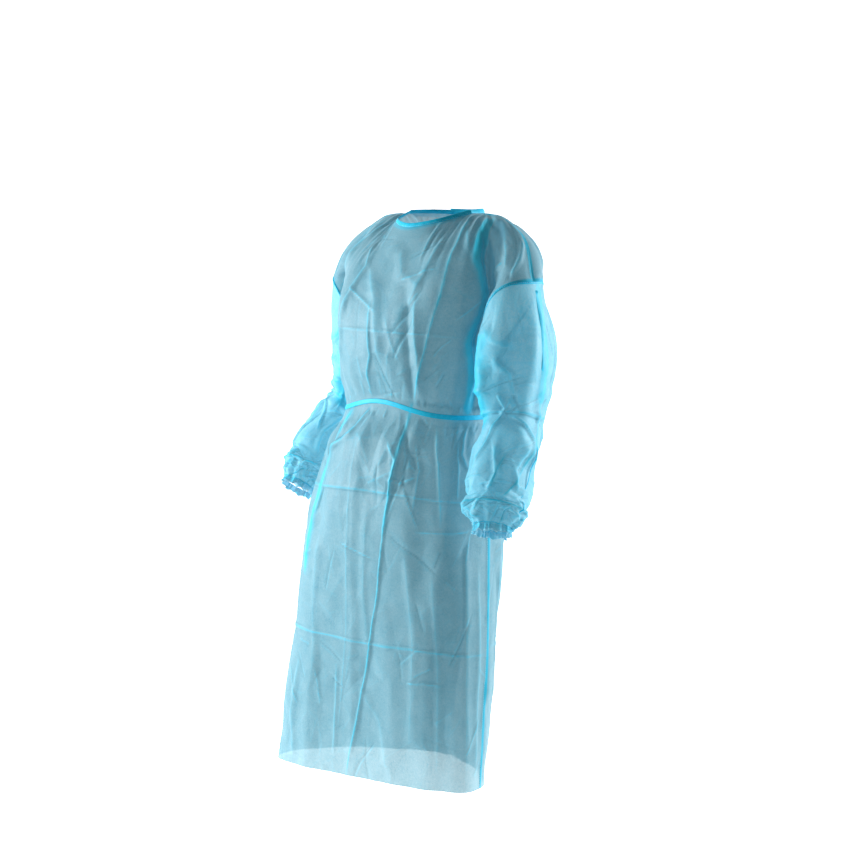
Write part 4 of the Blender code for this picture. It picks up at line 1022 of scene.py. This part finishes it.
def makeKnot(name, centre, size, replaced):
    # one tape drawn tight through itself, as a trefoil pulled into the knot's size
    turns, around = knotTape["turns"], knotTape["around"]
    t = np.linspace(0, 2 * math.pi, turns, endpoint=False)
    line = np.stack([np.sin(t) + 2 * np.sin(2 * t), -np.sin(3 * t) * 1.1,
                     np.cos(t) - 2 * np.cos(2 * t)], 1) / 6.2
    ahead = unit(np.roll(line, -1, axis=0) - np.roll(line, 1, axis=0))
    side = unit(np.cross(ahead, line + [0, 1e-3, 0]))
    over = np.cross(side, ahead)
    angle = np.linspace(0, 2 * math.pi, around, endpoint=False)
    rings = [line + knotTape["thick"] * (side * math.cos(a) * 1.15 + over * math.sin(a) * 0.8)
             for a in angle]
    points = np.stack(rings, 1).reshape(-1, 3)
    points = points / (points.max(0) - points.min(0)) * size + centre
    faces = [(i * around + j, i * around + (j + 1) % around, (i + 1) % turns * around + (j + 1) % around,
              (i + 1) % turns * around + j) for i in range(turns) for j in range(around)]
    tapeMesh(name, points, faces, replaced)


def makeTail(name, knot, size, side, drop, sway, replaced):
    # free end that hangs from under a knot, cut straight at its end
    top = knot + np.array([side * 0.0015, 0.0006 if side > 0 else -0.001, -size[2] / 2 - 0.0009])
    down = np.linspace(0, drop, tails["points"])
    line = top + np.stack([side * tails["apart"] * down, sway(down), -down], 1)
    turn = tails["turn"] * np.sin(down * 19 + side)
    across = np.stack([np.cos(turn), np.sin(turn), 0 * turn], 1)
    wide = np.interp(down, [0, 0.02], [0.5, 1.0])[:, None] * tapeWidth / 2
    outs = unit(np.cross(across, np.gradient(line, axis=0)))
    piece = tapeBetween(name, line - across * wide, line + across * wide, outs, replaced, lift=0,
                        thick=tails["thick"])


def makeTies():
    # the two knots behind, each with a free end to either side
    nape = panelCloth(np.array([-0.05, 0, 0.05]), np.array([0, 0.02]), False, 1)[0][0, 1]
    nape = nape + knotTape["napeOff"]
    waist = sum(beltSide(np.array([beltTape["end"], 0.05, 0.07]), False)[:2])[0] / 2
    belt = np.array([0, waist[1] + knotTape["beltOff"], waist[2]])
    makeKnot("napeKnot", nape, np.array(knotTape["nape"]), "nape_knot")
    makeKnot("beltKnot", belt, np.array(knotTape["belt"]), "belt_knot")
    for side, title in titles.items():
        makeTail("napeTail" + title, nape, knotTape["nape"], side, tails["nape"],
                 lambda down: 0.29 * down + 0.0035 * np.sin(36 * down), "nape_tail_" + title.lower())
        makeTail("beltTail" + title, belt, knotTape["belt"], side, tails["belt"] + side * tails["uneven"],
                 lambda down: 0.022 * np.sin(6 * down), "belt_tail_" + title.lower())


stitch = dict(length=0.0030, gap=0.0014, radius=0.00028, sides=6, ends=0.55)
# How far each seam's stitches are lifted, and where they run on the armhole's band and the binding
stitchLift = dict(armhole=0.0012, side=0.0002, binding=0.0004)
stitchAt = dict(armhole=0.45, binding=0.0016)
# The side seams' stitches: shares across, with the stitched one in the middle, and how far down
sideSeam = dict(shares=(0.955, 0.985, 0.995), first=0.262, last=hemDrop - 0.004, rows=260)


def makeStitches(name, line, outs, lift):
    # a running stitch of short thread lengths along a line on the cloth
    length = lengthAlong(line)
    step = stitch["length"] + stitch["gap"]
    sides = stitch["sides"]
    points, faces = [], []
    for start in np.arange(step, length[-1] - step, step):
        ends = [np.array([np.interp(start + more, length, line[:, axis]) for axis in range(3)])
                for more in (0, stitch["length"] / 2, stitch["length"])]
        out = unit(np.array([np.interp(start, length, outs[:, axis]) for axis in range(3)]))
        ahead = unit(ends[2] - ends[0])
        side = np.cross(ahead, out)
        first = len(points)
        for end, rise, size in zip(ends, (0, 1, 0), (stitch["ends"], 1, stitch["ends"])):
            for a in np.arange(sides) * 2 * math.pi / sides:
                points.append(end + out * (lift + stitch["radius"] * rise)
                              + (side * math.cos(a) + out * math.sin(a)) * stitch["radius"] * size)
        for ring in (first, first + sides):
            faces += [(ring + a, ring + (a + 1) % sides, ring + sides + (a + 1) % sides, ring + sides + a)
                      for a in range(sides)]
        faces.append([first + a for a in range(sides)][::-1])
        faces.append([first + 2 * sides + a for a in range(sides)])
    tapeMesh(name, points, faces, material=thread)


class Wire:
    # one socket of a shader tree, so that shader sums are written as sums
    def __init__(self, tree, socket=None):
        self.tree = tree
        self.socket = socket

    def node(self, kind, settings, sockets, output=0):
        made = self.tree.nodes.new(kind)
        for title, value in settings.items():
            setattr(made, title, value)
        for title, value in sockets.items():
            if isinstance(value, Wire):
                self.tree.links.new(value.socket, made.inputs[title])
            else:
                made.inputs[title].default_value = value
        return Wire(self.tree, made.outputs[output])

    def math(self, operation, first, second):
        return self.node("ShaderNodeMath", dict(operation=operation), {0: first, 1: second})

    def __add__(self, other):
        return self.math("ADD", self, other)

    def __radd__(self, other):
        return self.math("ADD", other, self)

    def __sub__(self, other):
        return self.math("SUBTRACT", self, other)

    def __rsub__(self, other):
        return self.math("SUBTRACT", other, self)

    def __mul__(self, other):
        return self.math("MULTIPLY", self, other)

    def __rmul__(self, other):
        return self.math("MULTIPLY", other, self)

    def clamp(self):
        return self.node("ShaderNodeClamp", {}, {"Value": self})


def mixColour(wire, share, first, second):
    return wire.node("ShaderNodeMix", dict(data_type="RGBA"), {0: share, 6: first, 7: second}, output=2)


def noise(place, scale, detail, roughness=0.5, distortion=0.0, dimensions="2D"):
    return place.node("ShaderNodeTexNoise", dict(noise_dimensions=dimensions),
                      {"Vector": place, "Scale": scale, "Detail": detail, "Roughness": roughness,
                       "Distortion": distortion})


def beginMaterial(name):
    # an empty material, as the wire that its nodes start from
    material = bpy.data.materials.new(name)
    material.use_nodes = True
    material.node_tree.nodes.clear()
    return material, Wire(material.node_tree)


def endMaterial(shader):
    end = shader.tree.nodes.new("ShaderNodeOutputMaterial")
    shader.tree.links.new(shader.socket, end.inputs["Surface"])


# pale and deep here are the panels' tones, darker and greyer than the sleeves': painted shade over the
# torso
nonWoven = dict(
    # the ridge colour is painted light on crease ridges, the trough colour painted shade in their troughs
    pale=(0.27, 0.44, 0.50, 1), deep=(0.05, 0.24, 0.32, 1), paintedRidgeLight=(0.03, 0.58, 0.80, 1),
    paintedCreaseShade=(0.04, 0.22, 0.30, 1), glow=(0.45, 0.76, 0.86, 1), tint=(0.78, 0.93, 0.97, 1),
    # line is a deeper cyan along creases, on fold edges partly painted light; shaded is painted shade
    doubled=(0.00, 0.44, 0.64, 1), line=(0.00, 0.50, 0.70, 1), shaded=(0.02, 0.16, 0.24, 1),
    roughness=0.48, sheen=0.12, shine=0.22, cover=0.86, coverGrain=0.14, coverDoubled=0.12,
    grain=950, cloud=210, patch=30, middle=0.48, grainDepth=1.5, cloudDepth=0.9, patchDepth=0.5,
    ridgeLightDepth=0.7, creaseShadeDepth=0.8, lineDepth=0.9, throughShare=0.18, throughLost=0.7,
    bump=0.5, bumpDistance=0.0007,
)


def makeNonWoven(name, settings):
    # thin bonded fibres: a grain of short strands over soft clouds, part of the light let through
    material, start = beginMaterial(name)
    cut = start.node("ShaderNodeUVMap", dict(uv_map="cut"), {})
    fold, doubled, line = [start.node("ShaderNodeAttribute", dict(attribute_name=title), {}, output=2)
                           for title in ("fold", "doubled", "line")]
    strands = start.node("ShaderNodeMapping", {}, {"Vector": cut, "Scale": (1.0, 0.45, 1.0)})
    grain = noise(strands, settings["grain"], 3.0, roughness=0.65, distortion=0.6) - 0.5
    cloud = noise(cut, settings["cloud"], 4.0, roughness=0.6) - 0.5
    patch = noise(cut, settings["patch"], 3.0) - 0.5
    depth = (settings["middle"] + cloud * settings["cloudDepth"] + grain * settings["grainDepth"]
             + patch * settings["patchDepth"]).clamp()
    colour = mixColour(start, depth, settings["pale"], settings["deep"])
    # ridges are painted a lighter, more saturated cyan and troughs a darker colour from the fold attribute:
    # painted light and shade
    overlays = dict(paintedRidgeLight=fold * settings["ridgeLightDepth"], paintedCreaseShade=fold * -settings["creaseShadeDepth"],
                    line=line * settings["lineDepth"], shaded=line * -settings["lineDepth"],
                    doubled=doubled)
    for title, share in overlays.items():
        colour = mixColour(start, share.clamp(), colour, settings[title])
    cover = (settings["cover"] + (cloud + grain) * settings["coverGrain"]
             + (doubled + line * 0.6) * settings["coverDoubled"]).clamp()
    relief = start.node("ShaderNodeBump", {}, {"Strength": settings["bump"],
                                               "Distance": settings["bumpDistance"],
                                               "Height": grain * 0.6 + cloud * 1.2})
    body = start.node("ShaderNodeBsdfPrincipled", {},
                      {"Base Color": colour, "Roughness": settings["roughness"], "Normal": relief,
                       "Sheen Weight": settings["sheen"], "Sheen Roughness": 0.4,
                       "Specular IOR Level": settings["shine"]})
    lit = (1.0 - (line + doubled).clamp() * settings["throughLost"]) * settings["throughShare"]
    through = start.node("ShaderNodeBsdfTranslucent", {}, {"Color": settings["glow"], "Normal": relief})
    cloth = start.node("ShaderNodeMixShader", {}, {0: lit, 1: body, 2: through})
    clear = start.node("ShaderNodeBsdfTransparent", {}, {"Color": settings["tint"]})
    endMaterial(start.node("ShaderNodeMixShader", {}, {0: cover, 1: clear, 2: cloth}))
    return material


# The panels' copy of the cloth is darker, greyer and lets less light through than the sleeves' copy, which
# keeps the cloth's paler colour: painted shade over the torso
panelClothShaded = makeNonWoven("panelClothShaded", nonWoven)
drapedCloth = makeNonWoven("sleeveCloth", dict(nonWoven, pale=(0.42, 0.72, 0.82, 1),
                                               deep=(0.03, 0.44, 0.60, 1), glow=(0.32, 0.72, 0.84, 1),
                                               throughShare=0.32, cover=0.83))
cuffCloth = makeNonWoven("cuffCloth", dict(nonWoven, pale=(0.20, 0.60, 0.78, 1), deep=(0.02, 0.44, 0.64, 1),
                                           doubled=(0.00, 0.46, 0.66, 1), line=(0.62, 0.85, 0.92, 1),
                                           glow=(0.62, 0.85, 0.92, 1), throughShare=0.16, throughLost=0.0,
                                           cover=0.92, coverGrain=0.08))

tapeFinish = dict(light=(0.03, 0.56, 0.80, 1), dark=(0.00, 0.40, 0.62, 1), roughness=0.5,
                  grain=900.0, cloud=120.0, uneven=1.2, bump=0.3, bumpDistance=0.0004)


def makeTapeMaterial(name, settings):
    # woven finely enough to look even, a little mottled
    material, start = beginMaterial(name)
    place = start.node("ShaderNodeTexCoord", {}, {}, output=3)
    grain = noise(place, settings["grain"], 3.0, roughness=0.6, dimensions="3D")
    cloud = noise(place, settings["cloud"], 3.0, dimensions="3D")
    depth = (0.5 + (grain - 0.5) * settings["uneven"] + (cloud - 0.5) * settings["uneven"]).clamp()
    colour = mixColour(start, depth, settings["light"], settings["dark"])
    relief = start.node("ShaderNodeBump", {}, {"Strength": settings["bump"], "Height": grain + cloud,
                                               "Distance": settings["bumpDistance"]})
    body = start.node("ShaderNodeBsdfPrincipled", {},
                      {"Base Color": colour, "Roughness": settings["roughness"], "Normal": relief,
                       "Specular IOR Level": 0.15})
    endMaterial(body)
    return material


gownTape = makeTapeMaterial("gownTape", tapeFinish)
thread = makeTapeMaterial("seamThread", dict(tapeFinish, light=(0.46, 0.78, 0.88, 1),
                                             dark=(0.26, 0.62, 0.76, 1), roughness=0.55))

print("cloth: front, backs, sleeves and cuffs")
makeFront()
makeBack(1)
makeBack(-1)
for stations, side in ((leftStations, 1), (rightStations, -1)):
    makeSleeve(stations, side)
    makeCuff(stations, side)

print("tapes: seams, binding, belt and ties")
for stations, side in ((leftStations, 1), (rightStations, -1)):
    first, second, outs = makeArmholeSeam(stations, side)
    middle = first + (second - first) * stitchAt["armhole"]
    makeStitches("armhole" + titles[side] + "Stitches", np.concatenate([middle, middle[:1]]),
                 np.concatenate([outs, outs[:1]]), stitchLift["armhole"])
    makeSleeveSeam(stations, side)
    drops = np.linspace(sideSeam["first"], sideSeam["last"], sideSeam["rows"])
    seam = panelCloth(np.array(sideSeam["shares"]) * side, drops, True)[0]
    seamOuts = -gridNormals(seam)[:, 1] * side
    makeStitches("side" + titles[side] + "Stitches", seam[:, 1], seamOuts, stitchLift["side"])
low, up, outs = makeBinding()
makeStitches("bindingStitches", low + up * stitchAt["binding"], outs, stitchLift["binding"])
makeBelt()
makeTies()

print("camera, floor and light")
photo = dict(azimuth=45.0, distance=4.0, originX=440.0, originY=213.0, mmPerPixel=1.95, size=850)
cameraTurn = math.radians(photo["azimuth"])
toRight = Vector((math.cos(cameraTurn), math.sin(cameraTurn), 0))
toCamera = Vector((math.sin(cameraTurn), -math.cos(cameraTurn), 0))


def placeCamera():
    # level with the top of the shoulders, turned and tilted so that the picture fits the photo
    focal = photo["distance"] / (photo["mmPerPixel"] / 1000)
    tilt = math.atan2(photo["size"] / 2 - photo["originY"], focal)
    back = toCamera * math.cos(tilt) + Vector((0, 0, math.sin(tilt)))
    place = toCamera * photo["distance"]
    place -= toRight * (photo["originX"] - photo["size"] / 2) * photo["mmPerPixel"] / 1000
    lens = bpy.data.cameras.new("photoCamera")
    lens.sensor_width = 36
    lens.lens = focal / photo["size"] * lens.sensor_width
    camera = linked("photoCamera", lens)
    axes = Matrix((toRight, back.cross(toRight), back)).transposed()
    camera.matrix_world = Matrix.Translation(place) @ axes.to_4x4()
    bpy.context.scene.camera = camera


studio = dict(floor=-1.46, size=26.0, wallHeight=12.0, wallPlace=9.0, curve=3.0,
              paint=(0.93, 0.94, 0.95, 1), roughness=0.9, glow=0.98, glowFrom=-0.6, glowTo=0.5,
              world=(0.93, 0.96, 1.0, 1), worldStrength=0.10, aim=(0, 0, -0.5))
# Each light's place as metres to the camera's right, towards the camera and up
lamps = [
    dict(name="keyLight", place=(-1.8, 2.8, 1.6), size=0.8, power=20, colour=(1.0, 0.99, 0.97)),
    dict(name="rightLight", place=(2.6, -0.5, 0.0), size=0.8, power=98, colour=(0.98, 0.99, 1.0)),
    dict(name="leftLight", place=(-2.6, -0.3, 0.05), size=0.8, power=112, colour=(0.98, 0.99, 1.0)),
]


def seenFromCamera(place):
    # a place given as metres to the camera's right, towards the camera and up
    return toRight * place[0] + toCamera * place[1] + Vector((0, 0, place[2]))


def makeStudio():
    # a pale floor that curves up into the wall behind the gown
    bpy.ops.mesh.primitive_plane_add(size=studio["size"], location=(0, 0, 0))
    sweep = bpy.context.object
    sweep.name = "studioSweep"
    half = studio["size"] / 2
    for vertex in sweep.data.vertices:
        vertex.co.y = studio["wallPlace"] if vertex.co.y > 0 else -half
    bpy.ops.object.mode_set(mode="EDIT")
    bpy.ops.mesh.select_all(action="DESELECT")
    bpy.ops.object.mode_set(mode="OBJECT")
    for edge in sweep.data.edges:
        edge.select = all(sweep.data.vertices[v].co.y > 0 for v in edge.vertices)
    bpy.ops.object.mode_set(mode="EDIT")
    bpy.ops.mesh.select_mode(type="EDGE")
    bpy.ops.mesh.extrude_edges_move(TRANSFORM_OT_translate={"value": (0, 0, studio["wallHeight"])})
    bpy.ops.object.mode_set(mode="OBJECT")
    bend = sweep.modifiers.new("curve", "BEVEL")
    bend.width = studio["curve"]
    bend.segments = 24
    bend.limit_method = "ANGLE"
    bpy.ops.object.modifier_apply(modifier=bend.name)
    bpy.ops.object.shade_smooth()
    sweep.data.transform(Matrix.Translation((0, 0, studio["floor"]))
                         @ Matrix.Rotation(cameraTurn, 4, "Z"))
    paint = bpy.data.materials.new("studioPaint")
    paint.use_nodes = True
    shader = paint.node_tree.nodes["Principled BSDF"]
    shader.inputs["Base Color"].default_value = studio["paint"]
    shader.inputs["Roughness"].default_value = studio["roughness"]
    shader.inputs["Specular IOR Level"].default_value = 0.1
    shader.inputs["Emission Strength"].default_value = studio["glow"]
    # the wall and the floor behind the gown glow, and the floor in front doesn't
    start = Wire(paint.node_tree)
    place = start.node("ShaderNodeTexCoord", {}, {}, output=3)
    away = start.node("ShaderNodeVectorMath", dict(operation="DOT_PRODUCT"), {0: place, 1: -toCamera},
                      output=1)
    behind = start.node("ShaderNodeMapRange", {}, {"Value": away, "From Min": studio["glowFrom"],
                                                   "From Max": studio["glowTo"]})
    glowing = mixColour(start, behind, (0, 0, 0, 1), (1, 1, 1, 1))
    paint.node_tree.links.new(glowing.socket, shader.inputs["Emission Color"])
    sweep.data.materials.append(paint)
    for lamp in lamps:
        light = bpy.data.lights.new(lamp["name"], "AREA")
        light.size = lamp["size"]
        light.energy = lamp["power"]
        light.color = lamp["colour"]
        holder = linked(lamp["name"], light)
        place = seenFromCamera(lamp["place"])
        aim = seenFromCamera(studio["aim"]) - place
        holder.matrix_world = Matrix.Translation(place) @ aim.to_track_quat("-Z", "Y").to_matrix().to_4x4()
    world = bpy.data.worlds.new("studioWorld")
    world.use_nodes = True
    glow = world.node_tree.nodes["Background"]
    glow.inputs["Color"].default_value = studio["world"]
    glow.inputs["Strength"].default_value = studio["worldStrength"]
    bpy.context.scene.world = world
    bpy.context.scene.view_settings.view_transform = "Standard"


placeCamera()
makeStudio()
